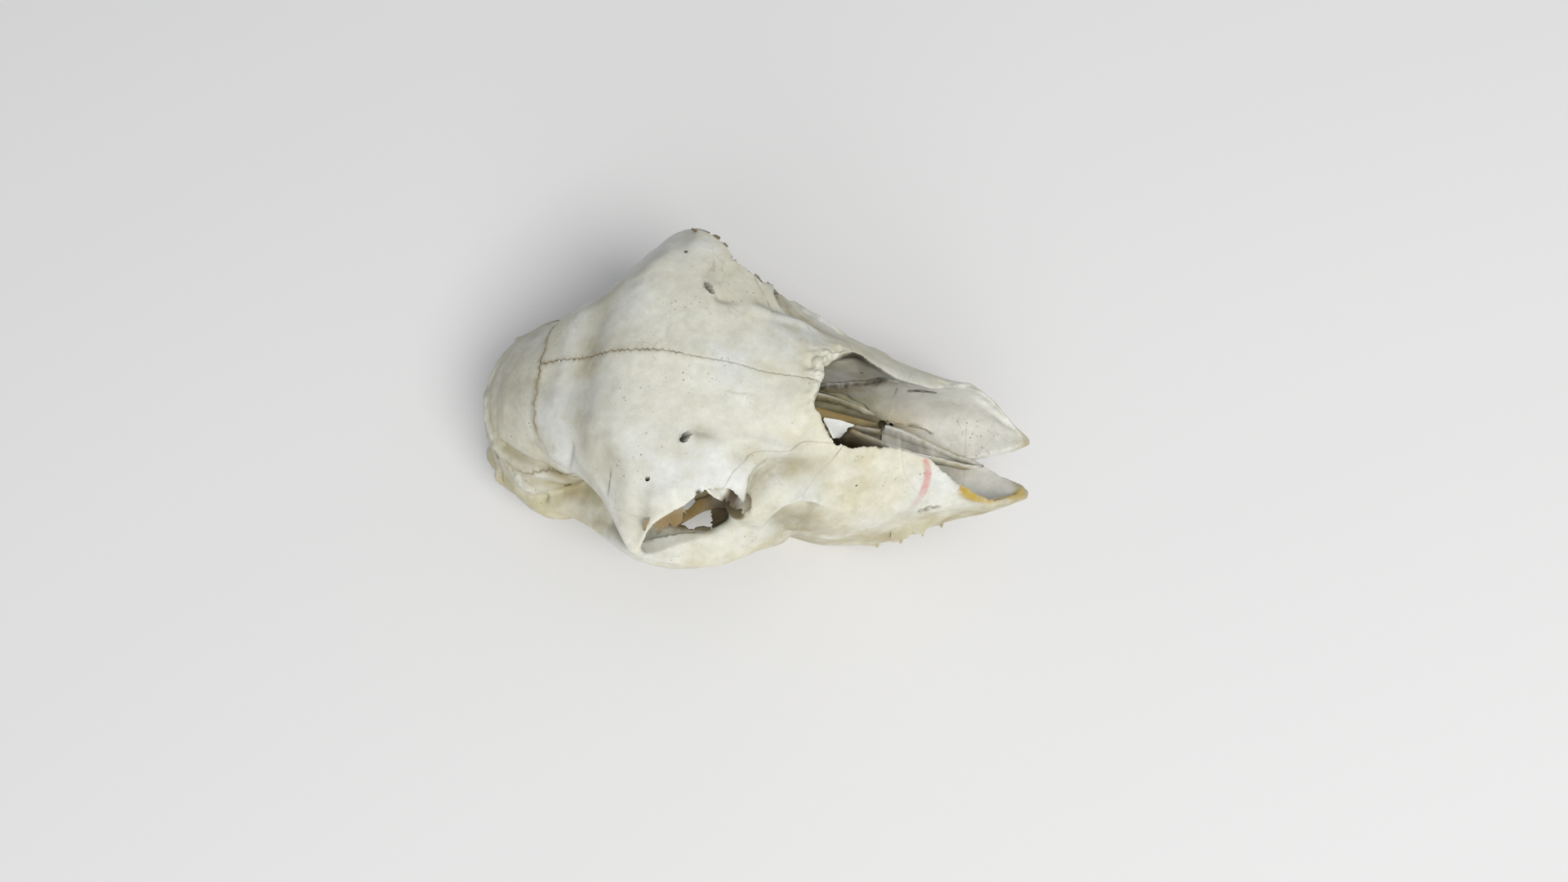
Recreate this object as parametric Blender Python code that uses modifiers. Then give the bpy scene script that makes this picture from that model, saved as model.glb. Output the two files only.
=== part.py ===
"""Skull of a polled sheep, life size, without its lower jaw and nasal bones.

The skull lies on its cheek teeth and on the processes beside its condyles.
+X runs to the nose, +Y to the animal's left, +Z up.  Numbers are millimetres
and become metres when a mesh is made.  The whole skull is modelled from soft
forms, hollowed, and then parted by thin cuts along its sutures.
"""
import math

import bmesh
import bpy
import numpy as np
from mathutils import Vector

MM = 0.001

# Driving sizes, in millimetres.
SUTURE_GAP = 0.3
NOSE_UP = math.radians(7.0)
VOXEL = 1.25
SMOOTH_STEPS = 5
SHARP_ANGLE = math.radians(35.0)
SKULL_TRIANGLES = 4600

# Half sections of the braincase and of the core between the orbits, seen
# from the front: x, top z, then (y, z) of shoulder, side and lower side, and
# bottom z.
BRAINCASE = [
    (-3.6, 48, 6, 47, 11, 38, 9, 32, 30),
    (-0.5, 54, 11, 50, 17.5, 37, 16, 26, 21),
    (4.0, 60.5, 15, 55, 23, 38, 22, 24, 15),
    (10.0, 67.5, 17.5, 61, 27.5, 39, 27, 25, 13),
    (17.0, 74.0, 19, 66, 30.5, 44, 28, 27, 14),
    (24.0, 80.0, 19, 71, 29.3, 50, 26, 31, 15.5),
    (31.0, 84.5, 22, 72, 30.3, 55, 24, 34, 17),
    (38.0, 88.5, 27, 73, 29.5, 59, 21, 37, 20),
    (46.0, 93.0, 28, 77, 26, 61, 17, 39, 24),
    (56.0, 97.0, 26, 82, 21, 63, 14, 43, 30),
    (70.0, 97.0, 22, 84, 17, 65, 12, 46, 36),
    (85.0, 93.0, 20, 82, 16.5, 64, 12, 46, 38),
    (98.0, 88.0, 18, 78, 17, 60, 13, 46, 36),
]

# The roof of frontal bone: x, then (y, z) on the crown line, halfway out and
# at the free edge.
ROOF = [
    (22.0, 78.5, 12, 76.0, 21.5, 67.0),
    (31.0, 84.5, 15, 83.0, 28.5, 69.5),
    (37.5, 88.5, 18, 87.0, 31.5, 70.5),
    (44.5, 93.0, 22, 91.0, 37.0, 75.0),
    (50.5, 97.0, 25, 94.0, 42.5, 78.5),
    (56.0, 99.5, 29, 95.6, 50.0, 79.0),
    (60.5, 100.2, 33, 95.6, 56.0, 77.0),
    (64.0, 100.4, 34, 95.2, 57.0, 77.5),
    (69.0, 100.3, 33, 95.2, 51.5, 88.0),
    (76.0, 99.2, 26, 96.0, 46.6, 90.3),
    (83.0, 97.3, 23, 94.3, 41.6, 88.0),
    (90.0, 95.3, 19, 92.4, 36.5, 85.0),
    (97.0, 92.8, 15, 91.0, 29.0, 84.0),
    (105.0, 90.8, 12, 89.6, 23.5, 83.0),
    (114.0, 90.0, 9, 88.6, 18.5, 82.0),
    (122.5, 86.0, 8, 85.0, 16.6, 80.2),
]
ROOF_THICK = (9.0, 4.2)
ROOF_UNDERCUT = 0.96

# The face with its cheeks and alveoli: x, top z, then (y, z) of rim, cheek,
# side and alveolar edge, and bottom z.
FACE = [
    (84.0, 80.0, 26, 80.0, 31, 72, 30, 62, 22, 48, 42),
    (90.0, 90.0, 33, 84.0, 37.5, 76, 38.5, 60, 29, 34, 28),
    (96.0, 91.5, 31, 83.5, 38.5, 72, 40.5, 54, 32.5, 25, 19),
    (102.0, 90.5, 26, 82.5, 36.5, 66, 38.6, 50, 32.5, 18, 16),
    (110.0, 89.5, 21, 82.0, 34.5, 61, 37.3, 46, 31.5, 13, 15.5),
    (120.0, 84.0, 17, 80.0, 32.6, 56, 35.8, 44, 31.0, 12.5, 16.5),
    (130.0, 76.0, 15.2, 74.5, 29.4, 54, 32.6, 43, 30.0, 13, 17.5),
    (140.0, 69.0, 14.2, 67.5, 26.0, 53, 29.2, 42, 28.2, 14, 18.5),
    (150.0, 65.0, 14.9, 63.3, 23.5, 52, 26.4, 42, 24.8, 15.5, 20),
    (158.0, 61.5, 16.3, 59.6, 21.8, 51, 23.6, 42, 21.3, 17, 21),
    (165.0, 57.5, 17.4, 55.8, 20.6, 49, 21.6, 40, 18.6, 19.5, 22),
    (170.0, 52.0, 18.2, 50.5, 19.8, 44, 20.3, 37, 17.2, 21.5, 23),
    (175.0, 45.5, 17.9, 44.0, 18.8, 40, 18.9, 34, 15.6, 22.6, 24),
    (180.0, 40.0, 15.8, 38.6, 16.6, 36, 16.6, 32, 13.8, 24.2, 25.2),
    (186.0, 35.0, 12.9, 33.8, 13.4, 32.4, 13.4, 30.4, 11.5, 26.6, 27.2),
    (190.6, 31.6, 10.9, 31.0, 11.2, 30.4, 11.2, 29.8, 10.2, 28.6, 28.8),
]

# The hollow of the nose: x, top z, then (y, z) high, middle and low on its
# wall, and floor z.
NOSE = [
    (88.0, 76.0, 6, 74, 9, 64, 6, 54, 50),
    (96.0, 82.5, 9, 79, 13, 62, 10, 45, 40),
    (104.0, 83.5, 11.5, 78, 16.5, 60, 13.5, 38, 33),
    (111.0, 83.0, 12.5, 77, 18, 58, 15, 33, 28),
    (116.0, 82.5, 13.2, 77, 18.5, 56, 15.5, 30, 26.5),
    (121.5, 86.0, 14.6, 79, 18.5, 54, 15.5, 30, 26.0),
    (124.5, 110.0, 14.8, 82, 18.5, 54, 15.5, 30, 25.9),
    (130.0, 110.0, 13.6, 80, 18.0, 52, 15.5, 30, 25.8),
    (140.0, 110.0, 12.8, 74, 17.6, 48, 15.5, 30, 26.0),
    (150.0, 110.0, 13.6, 70, 18.4, 48, 15.5, 30, 26.3),
    (158.0, 110.0, 15.0, 66, 18.4, 47, 15.0, 30, 26.6),
    (165.0, 110.0, 16.2, 62, 18.2, 45, 14.6, 30, 27.0),
    (170.0, 110.0, 16.8, 56, 17.4, 42, 14.2, 30, 27.2),
    (175.0, 110.0, 16.4, 50, 16.4, 38, 13.4, 30.5, 28.0),
    (180.0, 110.0, 14.4, 45, 14.2, 36, 12.0, 31.5, 29.0),
    (186.0, 110.0, 11.5, 40, 11.4, 35.0, 10.0, 33.0, 31.5),
    (196.0, 110.0, 8.5, 40, 8.5, 36.0, 7.5, 35.0, 34.0),
]

# Cheek teeth from the second premolar back: length along the row, outer y at
# the tooth's middle, and width across.
TEETH = [
    (6.5, 21.6, 6.5),
    (7.5, 25.2, 8.0),
    (8.0, 28.6, 9.8),
    (11.5, 31.8, 12.6),
    (13.5, 33.2, 13.8),
    (15.5, 32.6, 13.4),
]
TOOTH_ROW_FRONT = 163.5
TOOTH_SPACE = 0.6
ROOT_LEVEL = 8.0
CROWN_LEVEL = (-7.5, -10.6)

# Bands of bone: stations of (edge a), (edge b), thickness.
ZYGOMATIC_PLATE = [
    ((61.0, 57.2, 76.0), (64.0, 52.5, 74.5), 4.6),
    ((62.6, 56.8, 69.0), (65.5, 50.5, 69.0), 4.4),
    ((66.0, 55.4, 58.5), (69.0, 46.5, 62.0), 4.2),
    ((71.0, 54.0, 50.5), (74.5, 44.5, 58.0), 4.4),
    ((77.0, 53.0, 46.5), (80.0, 43.3, 56.5), 5.0),
    ((83.5, 51.6, 44.5), (85.5, 41.0, 57.0), 5.6),
    ((91.0, 47.0, 41.0), (90.5, 38.6, 59.5), 7.0),
    ((98.5, 40.0, 37.0), (96.0, 36.0, 62.0), 9.0),
    ((106.0, 35.0, 33.0), (104.0, 32.0, 58.0), 9.0),
]
ZYGOMATIC_ARCH = [
    ((80.0, 51.5, 47.5), (79.0, 48.5, 40.0), 4.6),
    ((70.0, 53.0, 49.0), (70.0, 50.5, 41.0), 4.6),
    ((60.0, 51.6, 48.5), (60.0, 49.6, 40.5), 4.4),
    ((51.0, 46.8, 46.0), (51.0, 44.6, 37.5), 4.8),
    ((44.0, 42.0, 43.0), (44.0, 39.0, 35.0), 6.0),
    ((37.0, 37.6, 39.0), (37.0, 33.0, 32.0), 8.0),
    ((30.0, 35.6, 37.0), (30.0, 28.0, 31.0), 9.0),
    ((23.0, 34.0, 37.0), (23.0, 26.0, 31.0), 9.0),
]
JAW_SHELF = [
    ((30.0, 27.0, 38.0), (30.0, 36.0, 34.5), 6.0),
    ((37.0, 25.0, 39.5), (37.0, 37.6, 36.5), 5.0),
    ((43.0, 26.0, 41.5), (43.0, 41.0, 39.5), 4.0),
    ((48.0, 36.0, 42.5), (48.0, 43.5, 41.0), 3.4),
]
PTERYGOID_PLATE = [
    ((58.0, 9.5, 40.0), (62.0, 12.0, 19.0), 2.6),
    ((67.0, 9.5, 44.0), (68.0, 11.5, 17.5), 2.8),
    ((78.0, 10.0, 46.0), (78.0, 11.5, 17.0), 3.0),
    ((89.0, 12.0, 44.0), (89.0, 13.5, 16.0), 3.6),
    ((98.0, 16.0, 40.0), (98.0, 16.0, 13.5), 5.0),
]
PARACONDYLAR = [
    ((1.0, 24.0, 36.0), (10.0, 27.0, 34.0), 6.0),
    ((2.0, 24.0, 22.0), (10.0, 26.0, 20.0), 5.0),
    ((4.5, 23.5, 10.0), (10.5, 24.5, 9.0), 4.2),
    ((7.5, 22.8, 2.2), (10.0, 23.2, 2.0), 3.4),
]
MASTOID_RIDGE = [
    ((3.0, 21.0, 38.0), (3.0, 18.5, 25.0), 6.0),
    ((9.5, 27.3, 37.5), (10.0, 24.5, 24.0), 7.0),
    ((17.0, 32.6, 36.5), (17.5, 30.0, 24.5), 8.0),
    ((24.0, 35.0, 35.0), (24.5, 32.5, 25.5), 8.0),
    ((31.0, 34.6, 34.5), (31.0, 32.0, 27.5), 7.0),
]

# Rounded masses on each side: centre and radii,
# with a turn in degrees about X, Y and Z.
CONDYLE = ((0.5, 13.2, 19.0), (8.6, 6.8, 10.4), (0.0, 14.0, 16.0))
BASE_SWELL = ((14.0, 9.0, 17.0), (15.0, 8.0, 4.6), (0.0, 0.0, 12.0))
BULLA = ((21.5, 18.8, 17.5), (9.0, 5.6, 8.4), (0.0, 16.0, -16.0))
MUSCULAR_TUBERCLE = ((23.0, 6.0, 15.2), (5.5, 3.6, 3.4), (0.0, 0.0, 0.0))
MAXILLARY_TUBER = ((101.0, 26.0, 24.0), (8.0, 7.5, 12.0), (0.0, 0.0, 0.0))
EAR_TUBE = ((22.0, 31.5, 29.0), (4.2, 6.0, 4.2), (24.0, 0.0, 0.0))

# Hollows, given in the same way.
ORBIT = ((76.5, 40.0, 73.0), (17.6, 27.0, 16.6), (-4.0, 0.0, -20.0))
FORAMEN_MAGNUM = ((-4.0, 0.0, 27.5), (13.0, 9.0, 8.2), (0.0, -12.0, 0.0))
JAW_JOINT = ((38.0, 35.0, 27.0), (6.5, 7.0, 6.0), (0.0, 0.0, 0.0))
PALATE_VAULT = ((130.0, 0.0, 10.4), (50.0, 16.5, 8.6), (0.0, -7.5, 0.0))
THROAT = ((86.0, 0.0, 31.5), (27.0, 8.6, 10.5), (0.0, -14.0, 0.0))
PALATE_SLIT = ((164.5, 6.6, 25.0), (9.5, 2.2, 8.0), (0.0, 0.0, 4.0))

# Seen from above: the edge of the frontal bones where the nasal bones came
# away, and the gap between the tips of the incisive bones.
NASAL_NOTCH = [
    (113.9, 0.4), (112.0, 4.0), (111.8, 9.6), (114.2, 14.6), (124.0, 14.9),
    (140.0, 12.0), (140.0, -12.0), (124.0, -14.9), (119.6, -13.2),
    (115.4, -8.6), (111.4, -4.6),
]
INCISIVE_GAP = [
    (167.5, 1.4), (174.0, 4.0), (185.0, 6.9), (190.8, 9.2), (200.0, 9.2),
    (200.0, -8.4), (189.7, -8.4), (182.0, -4.4), (175.5, -0.6),
]

# Thin bones inside the nose.
VOMER_WALL = [
    ((104.0, 0.0, 66.0), (104.0, 0.0, 34.0), 2.2),
    ((114.0, 0.0, 61.5), (114.0, 0.0, 26.0), 2.6),
    ((126.0, 0.0, 54.5), (126.0, 0.0, 24.0), 3.0),
    ((137.0, 0.0, 48.5), (137.0, 0.0, 24.0), 3.4),
    ((150.0, 0.0, 42.0), (150.0, 0.0, 24.5), 3.6),
    ((163.0, 0.0, 35.5), (163.0, 0.0, 25.0), 3.4),
]
CONCHA = [
    ((107.0, 15.0, 66.0), (107.0, 12.0, 44.0), 9.0),
    ((114.0, 17.0, 66.5), (114.0, 13.0, 42.0), 12.0),
    ((122.0, 17.6, 64.0), (122.0, 13.4, 40.0), 12.6),
    ((130.0, 17.2, 60.0), (130.0, 14.0, 38.5), 11.0),
    ((137.5, 17.0, 56.0), (137.5, 15.4, 39.0), 7.0),
]

# Where bones meet, seen from the side as (x, z).  A region is an outline and
# a range of y; paired regions are mirrored for the right side.
INCISIVE_LINE = [(141.0, 72.0), (144.5, 62.0), (157.0, 46.0), (167.0, 31.0), (170.5, 14.0)]
CHEEK_LINE = [(104.0, 57.5), (111.0, 50.0), (109.0, 41.0), (98.5, 33.0)]
LACRIMAL_TOP = [(86.5, 84.0), (91.0, 86.2), (98.0, 85.2), (111.0, 83.2), (124.0, 78.8)]
CORONAL_LINE = [(23.8, 110.0), (23.8, 72.0), (37.6, 65.0)]
SQUAMOUS_LINE = [(37.6, 65.0), (34.0, 60.2), (23.0, 55.2), (6.0, 50.2), (2.6, 52.6)]

INCISIVE = (INCISIVE_LINE + [(210.0, 14.0), (210.0, 72.0)], 0.15, 60.0)
MAXILLA = ([(124.0, 78.6), (106.0, 62.0)] + CHEEK_LINE[:3] + [(109.0, -10.0),
           (171.2, -10.0), (171.2, 14.0)] + INCISIVE_LINE[::-1] + [(140.0, 78.6)],
           0.15, 60.0)
MAXILLA_REAR = ([(104.0, 57.5), (98.0, 60.0), (92.0, 60.0), (84.0, 50.0), (84.0, -10.0),
                 (111.0, -10.0), (111.0, 50.0)], 15.5, 60.0)
ZYGOMATIC = (CHEEK_LINE + [(55.0, 33.0), (57.5, 45.0), (66.0, 52.0), (55.0, 60.0),
             (55.0, 72.0), (62.5, 73.6), (69.0, 71.5), (84.0, 66.0), (92.0, 63.5),
             (98.0, 60.0)], 31.0, 70.0)
LACRIMAL = (LACRIMAL_TOP + [(106.0, 62.0), (104.0, 57.5), (98.0, 60.0), (92.0, 63.5),
            (84.5, 65.0), (84.5, 80.0)], 14.0, 60.0)
FRONTAL = (CORONAL_LINE + [(46.0, 62.0), (84.0, 61.0), (96.0, 56.0), (124.0, 56.0),
           (140.0, 74.0), (140.0, 110.0)], 0.15, 70.0)
PARIETAL = (CORONAL_LINE + SQUAMOUS_LINE + [(-12.0, 52.6), (-12.0, 110.0)], -70.0, 70.0)
NAPE = ([(-20.0, 52.4), (2.6, 52.4), (3.6, 40.0), (7.0, 30.0), (10.5, 20.0),
         (12.0, -5.0), (-20.0, -5.0)], -70.0, 70.0)
SKULL_BASE_REAR = ([(5.0, 21.0), (28.0, 21.0), (28.0, -5.0), (5.0, -5.0)], -10.5, 10.5)
TEMPORAL = ([(2.0, 49.8), (6.0, 50.0), (23.0, 55.0), (34.0, 60.0), (38.0, 56.0),
             (44.0, 46.0), (66.0, 56.0), (70.0, 50.0), (57.0, 30.0), (32.0, 22.0),
             (30.0, 2.0), (2.0, 2.0)], 13.0, 70.0)

# Colours of the bones.
IVORY = (0.70, 0.67, 0.57)
PALE = (0.75, 0.74, 0.69)
YELLOWED = (0.64, 0.56, 0.38)
HONEY = (0.58, 0.42, 0.20)


def palate_point(x, level):
    """Height in the resting skull of a level measured from the palate."""
    return (level + x * math.sin(NOSE_UP)) / math.cos(NOSE_UP)


def slopes(xs, ys):
    """Tangents that keep a curve through the samples free of overshoot."""
    steps = np.diff(ys) / np.diff(xs)
    inner = np.where(steps[:-1] * steps[1:] > 0, 2 * steps[:-1] * steps[1:]
                     / (steps[:-1] + steps[1:] + 1e-12), 0.0)
    return np.concatenate([steps[:1], inner, steps[-1:]])


def curve_at(xs, ys, x):
    """Smooth curve through (xs, ys), read at x."""
    tangents = slopes(xs, ys)
    k = np.clip(np.searchsorted(xs, x) - 1, 0, len(xs) - 2)
    width = xs[k + 1] - xs[k]
    t = (x - xs[k]) / width
    a = (1 + 2 * t) * (1 - t) ** 2
    b = t * (1 - t) ** 2
    c = t * t * (3 - 2 * t)
    d = t * t * (t - 1)
    return (a * ys[k] + b * width * tangents[k]
            + c * ys[k + 1] + d * width * tangents[k + 1])


def refine(rows, step):
    """Rows of a station table, resampled every step along their first value."""
    table = np.array(rows, float)
    count = max(2, int(round((table[-1, 0] - table[0, 0]) / step)))
    stations = np.linspace(table[0, 0], table[-1, 0], count + 1)
    columns = [curve_at(table[:, 0], table[:, k], stations)
               for k in range(1, table.shape[1])]
    return np.column_stack([stations] + columns)


def closed_curve(points, per_span):
    """Closed Catmull-Rom curve through the points."""
    points = np.array(points, float)
    ts = np.linspace(0, 1, per_span, endpoint=False)[:, None]
    spans = []
    for k in range(len(points)):
        p0, p1, p2, p3 = (points[(k + j - 1) % len(points)] for j in range(4))
        spans.append(0.5 * (2 * p1 + (p2 - p0) * ts
                            + (2 * p0 - 5 * p1 + 4 * p2 - p3) * ts ** 2
                            + (3 * p1 - p0 - 3 * p2 + p3) * ts ** 3))
    return np.vstack(spans)


def new_mesh_object(name, verts, faces, collection):
    """Object from vertices in millimetres and faces, turned outwards."""
    mesh = bpy.data.meshes.new(name)
    bm = bmesh.new()
    made = [bm.verts.new(Vector(v) * MM) for v in verts]
    for face in faces:
        bm.faces.new([made[i] for i in face])
    bmesh.ops.recalc_face_normals(bm, faces=bm.faces)
    bm.to_mesh(mesh)
    bm.free()
    obj = bpy.data.objects.new(name, mesh)
    collection.objects.link(obj)
    return obj


def loft(name, rings, collection):
    """Closed body through rings that all have the same number of points."""
    size = len(rings[0])
    verts = [tuple(p) for ring in rings for p in ring]
    faces = []
    for k in range(len(rings) - 1):
        for i in range(size):
            j = (i + 1) % size
            faces.append((k * size + i, k * size + j,
                          (k + 1) * size + j, (k + 1) * size + i))
    faces.append(tuple(range(size)))
    last = (len(rings) - 1) * size
    faces.append(tuple(last + i for i in reversed(range(size))))
    return new_mesh_object(name, verts, faces, collection)


def section_loft(name, rows, step, per_span, collection):
    """Loft of mirrored sections: top z, pairs of y and z, bottom z."""
    rings = []
    for row in refine(rows, step):
        half = list(zip(row[2:-1:2], row[3:-1:2]))
        outline = [(0.0, row[1])] + half + [(0.0, row[-1])]
        outline += [(-y, z) for y, z in reversed(half)]
        curve = closed_curve(outline, per_span)
        rings.append([(row[0], y, z) for y, z in curve])
    return loft(name, rings, collection)


def roof_loft(name, rows, step, collection):
    """The plate of frontal bone: thick on the middle line, thin at its edge."""
    rings = []
    across = np.linspace(-1, 1, 19)
    for x, crown, y_mid, z_mid, y_edge, z_edge in refine(rows, step):
        ys = np.array([0.0, y_mid, y_edge])
        zs = np.array([crown, z_mid, z_edge])
        outer = curve_at(ys, zs, np.abs(across) * y_edge)
        thick = ROOF_THICK[0] + (ROOF_THICK[1] - ROOF_THICK[0]) * across ** 2
        top = [(x, s * y_edge, z) for s, z in zip(across, outer)]
        under = [(x, s * y_edge * ROOF_UNDERCUT, z - t)
                 for s, z, t in zip(across, outer, thick)]
        rings.append(top + under[::-1])
    return loft(name, rings, collection)


def strap(name, stations, side, collection, across=12, between=4):
    """Band of bone between two edge lines, with a rounded section."""
    count = len(stations)
    flat = np.array([list(a) + list(b) + [t] for a, b, t in stations])
    keys = np.arange(count, dtype=float)
    fine = np.linspace(0, count - 1, (count - 1) * between + 1)
    rows = np.column_stack([curve_at(keys, flat[:, k], fine) for k in range(7)])
    middles = (rows[:, :3] + rows[:, 3:6]) / 2
    along = np.gradient(middles, axis=0)
    rings = []
    for row, middle, direction in zip(rows, middles, along):
        wide = (row[:3] - row[3:6]) / 2
        thin = np.cross(direction, wide)
        thin *= row[6] / 2 / np.linalg.norm(thin)
        ring = []
        for i in range(across):
            angle = 2 * math.pi * i / across
            c, s = math.cos(angle), math.sin(angle)
            c = math.copysign(abs(c) ** 0.8, c)
            s = math.copysign(abs(s) ** 0.8, s)
            point = middle + wide * c + thin * s
            ring.append((point[0], point[1] * side, point[2]))
        rings.append(ring)
    return loft(name, rings, collection)


def ellipsoid(name, shape, side, collection):
    """Round mass or hollow; side is 1 on the left and -1 on the right."""
    centre, radii, turn = shape
    bm = bmesh.new()
    bmesh.ops.create_uvsphere(bm, u_segments=28, v_segments=18, radius=1.0)
    mesh = bpy.data.meshes.new(name)
    bm.to_mesh(mesh)
    bm.free()
    obj = bpy.data.objects.new(name, mesh)
    collection.objects.link(obj)
    obj.location = (centre[0] * MM, centre[1] * MM * side, centre[2] * MM)
    obj.scale = (radii[0] * MM, radii[1] * MM, radii[2] * MM)
    obj.rotation_euler = (math.radians(turn[0] * side), math.radians(turn[1]),
                          math.radians(turn[2] * side))
    return obj


def rounded_box(name, centre, size, side, collection, taper=0.86):
    """Tooth-like block with soft corners, narrower at its lower end."""
    half = [s / 2 for s in size]
    rings = []
    for level, grow in ((1.0, 0.97), (0.0, 1.0), (-0.7, 0.97), (-1.0, taper)):
        ring = []
        for i in range(16):
            angle = 2 * math.pi * i / 16
            c, s = math.cos(angle), math.sin(angle)
            x = math.copysign(abs(c) ** 0.5, c) * half[0] * grow
            y = math.copysign(abs(s) ** 0.5, s) * half[1] * grow
            ring.append((centre[0] + x, (centre[1] + y) * side,
                         centre[2] + level * half[2]))
        rings.append(ring)
    return loft(name, rings, collection)


def slab(name, outline, z_low, z_high, collection):
    """Block whose outline in the top view is given, from z_low to z_high."""
    lower = [(x, y, z_low) for x, y in outline]
    upper = [(x, y, z_high) for x, y in outline]
    return loft(name, [lower, upper], collection)


def prism(name, outline, y_low, y_high, collection):
    """Block whose outline in the side view is given, from y_low to y_high."""
    near = [(x, y_low, z) for x, z in outline]
    far = [(x, y_high, z) for x, z in outline]
    return loft(name, [near, far], collection)


def baked(obj, name):
    """New mesh with what an object's modifiers make of it, in world space."""
    graph = bpy.context.evaluated_depsgraph_get()
    mesh = bpy.data.meshes.new_from_object(obj.evaluated_get(graph))
    mesh.transform(obj.matrix_world)
    mesh.name = name
    return mesh


def apply_modifiers(obj):
    """Replace an object's mesh by what its modifiers make of it."""
    bpy.context.view_layer.update()
    mesh = baked(obj, obj.name)
    obj.modifiers.clear()
    obj.data = mesh
    obj.location = (0, 0, 0)
    obj.rotation_euler = (0, 0, 0)
    obj.scale = (1, 1, 1)
    bpy.context.view_layer.update()


def cut(obj, cutter, operation="DIFFERENCE"):
    """Boolean with one cutter, applied."""
    modifier = obj.modifiers.new("cut", "BOOLEAN")
    modifier.object = cutter
    modifier.operation = operation
    modifier.solver = "EXACT"
    apply_modifiers(obj)


def join(objects, name, collection):
    """One object that holds the meshes of several."""
    bpy.context.view_layer.update()
    bm = bmesh.new()
    for obj in objects:
        mesh = baked(obj, "part")
        bm.from_mesh(mesh)
        bpy.data.meshes.remove(mesh)
    mesh = bpy.data.meshes.new(name)
    bm.to_mesh(mesh)
    bm.free()
    for obj in objects:
        bpy.data.objects.remove(obj)
    result = bpy.data.objects.new(name, mesh)
    collection.objects.link(result)
    return result


def tooth_row(side, collection):
    """The six cheek teeth of one side, from front to back."""
    teeth = []
    x = TOOTH_ROW_FRONT
    for k, (length, outer, width) in enumerate(TEETH):
        x -= length / 2
        crown = CROWN_LEVEL[0] + (CROWN_LEVEL[1] - CROWN_LEVEL[0]) * k / 5
        top = palate_point(x, ROOT_LEVEL)
        low = palate_point(x, crown)
        centre = (x, outer - width / 2, (top + low) / 2)
        teeth.append(rounded_box(f"tooth_{k}", centre,
                                 (length - TOOTH_SPACE, width, top - low),
                                 side, collection))
        x -= length / 2
    return teeth


def solid_forms(collection):
    """Every soft form whose union is the uncut skull."""
    forms = [
        section_loft("braincase", BRAINCASE, 4.0, 4, collection),
        roof_loft("roof", ROOF, 3.0, collection),
        section_loft("face", FACE, 4.0, 4, collection),
    ]
    for side in (1, -1):
        for name, rows in (("plate", ZYGOMATIC_PLATE), ("arch", ZYGOMATIC_ARCH),
                           ("shelf", JAW_SHELF), ("pterygoid", PTERYGOID_PLATE),
                           ("paracondylar", PARACONDYLAR), ("mastoid", MASTOID_RIDGE)):
            forms.append(strap(name, rows, side, collection))
        for name, mass in (("condyle", CONDYLE), ("base", BASE_SWELL), ("bulla", BULLA),
                           ("tubercle", MUSCULAR_TUBERCLE),
                           ("tuber", MAXILLARY_TUBER), ("ear", EAR_TUBE)):
            forms.append(ellipsoid(name, mass, side, collection))
        forms += tooth_row(side, collection)
    return forms


def fused_skull(collection):
    """The forms melted into one body, with soft transitions."""
    skull = join(solid_forms(collection), "skull", collection)
    remesh = skull.modifiers.new("melt", "REMESH")
    remesh.mode = "VOXEL"
    remesh.voxel_size = VOXEL * MM
    smooth = skull.modifiers.new("soften", "SMOOTH")
    smooth.factor = 0.5
    smooth.iterations = SMOOTH_STEPS
    apply_modifiers(skull)
    return skull


def hollow_out(skull, collection):
    """Cut the orbits, the nose, the throat and the lesser hollows."""
    cutters = [section_loft("nose", NOSE, 4.0, 4, collection),
               slab("notch", NASAL_NOTCH, 70.0, 110.0, collection),
               slab("gap", INCISIVE_GAP, 10.0, 60.0, collection)]
    for name, shape in (("magnum", FORAMEN_MAGNUM), ("vault", PALATE_VAULT),
                        ("throat", THROAT)):
        cutters.append(ellipsoid(name, shape, 1, collection))
    for side in (1, -1):
        for name, shape in (("orbit", ORBIT), ("joint", JAW_JOINT),
                            ("slit", PALATE_SLIT)):
            cutters.append(ellipsoid(name, shape, side, collection))
    for cutter in cutters:
        cut(skull, cutter)
        bpy.data.objects.remove(cutter)


def region(name, shape, side, grow, collection):
    """Block for one bone; grow pushes its faces outwards by that many mm."""
    outline, y_low, y_high = shape
    low, high = sorted((y_low * side, y_high * side))
    block = prism(name, outline, low, high, collection)
    if grow:
        bm = bmesh.new()
        bm.from_mesh(block.data)
        bmesh.ops.connect_verts_concave(bm, faces=bm.faces)
        bm.normal_update()
        pushed = {}
        for vert in bm.verts:
            normals = []
            for face in vert.link_faces:
                if all(face.normal.dot(n) < 0.999 for n in normals):
                    normals.append(face.normal.copy())
            matrix = np.array([list(n) for n in normals])
            offset = np.linalg.lstsq(matrix, np.full(len(normals), grow * MM), rcond=None)
            pushed[vert] = vert.co + Vector(offset[0])
        for vert, place in pushed.items():
            vert.co = place
        bm.to_mesh(block.data)
        bm.free()
    return block


def keep_largest(obj):
    """Drop crumbs that a cut has left beside the main body."""
    bm = bmesh.new()
    bm.from_mesh(obj.data)
    bmesh.ops.remove_doubles(bm, verts=bm.verts, dist=0.002 * MM)
    left = set(bm.verts)
    bodies = []
    while left:
        body = {left.pop()}
        front = list(body)
        while front:
            vert = front.pop()
            for edge in vert.link_edges:
                other = edge.other_vert(vert)
                if other in left:
                    left.discard(other)
                    body.add(other)
                    front.append(other)
        bodies.append(body)
    bodies.sort(key=len)
    crumbs = [vert for body in bodies[:-1] for vert in body]
    bmesh.ops.delete(bm, geom=crumbs, context="VERTS")
    bm.to_mesh(obj.data)
    bm.free()


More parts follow.
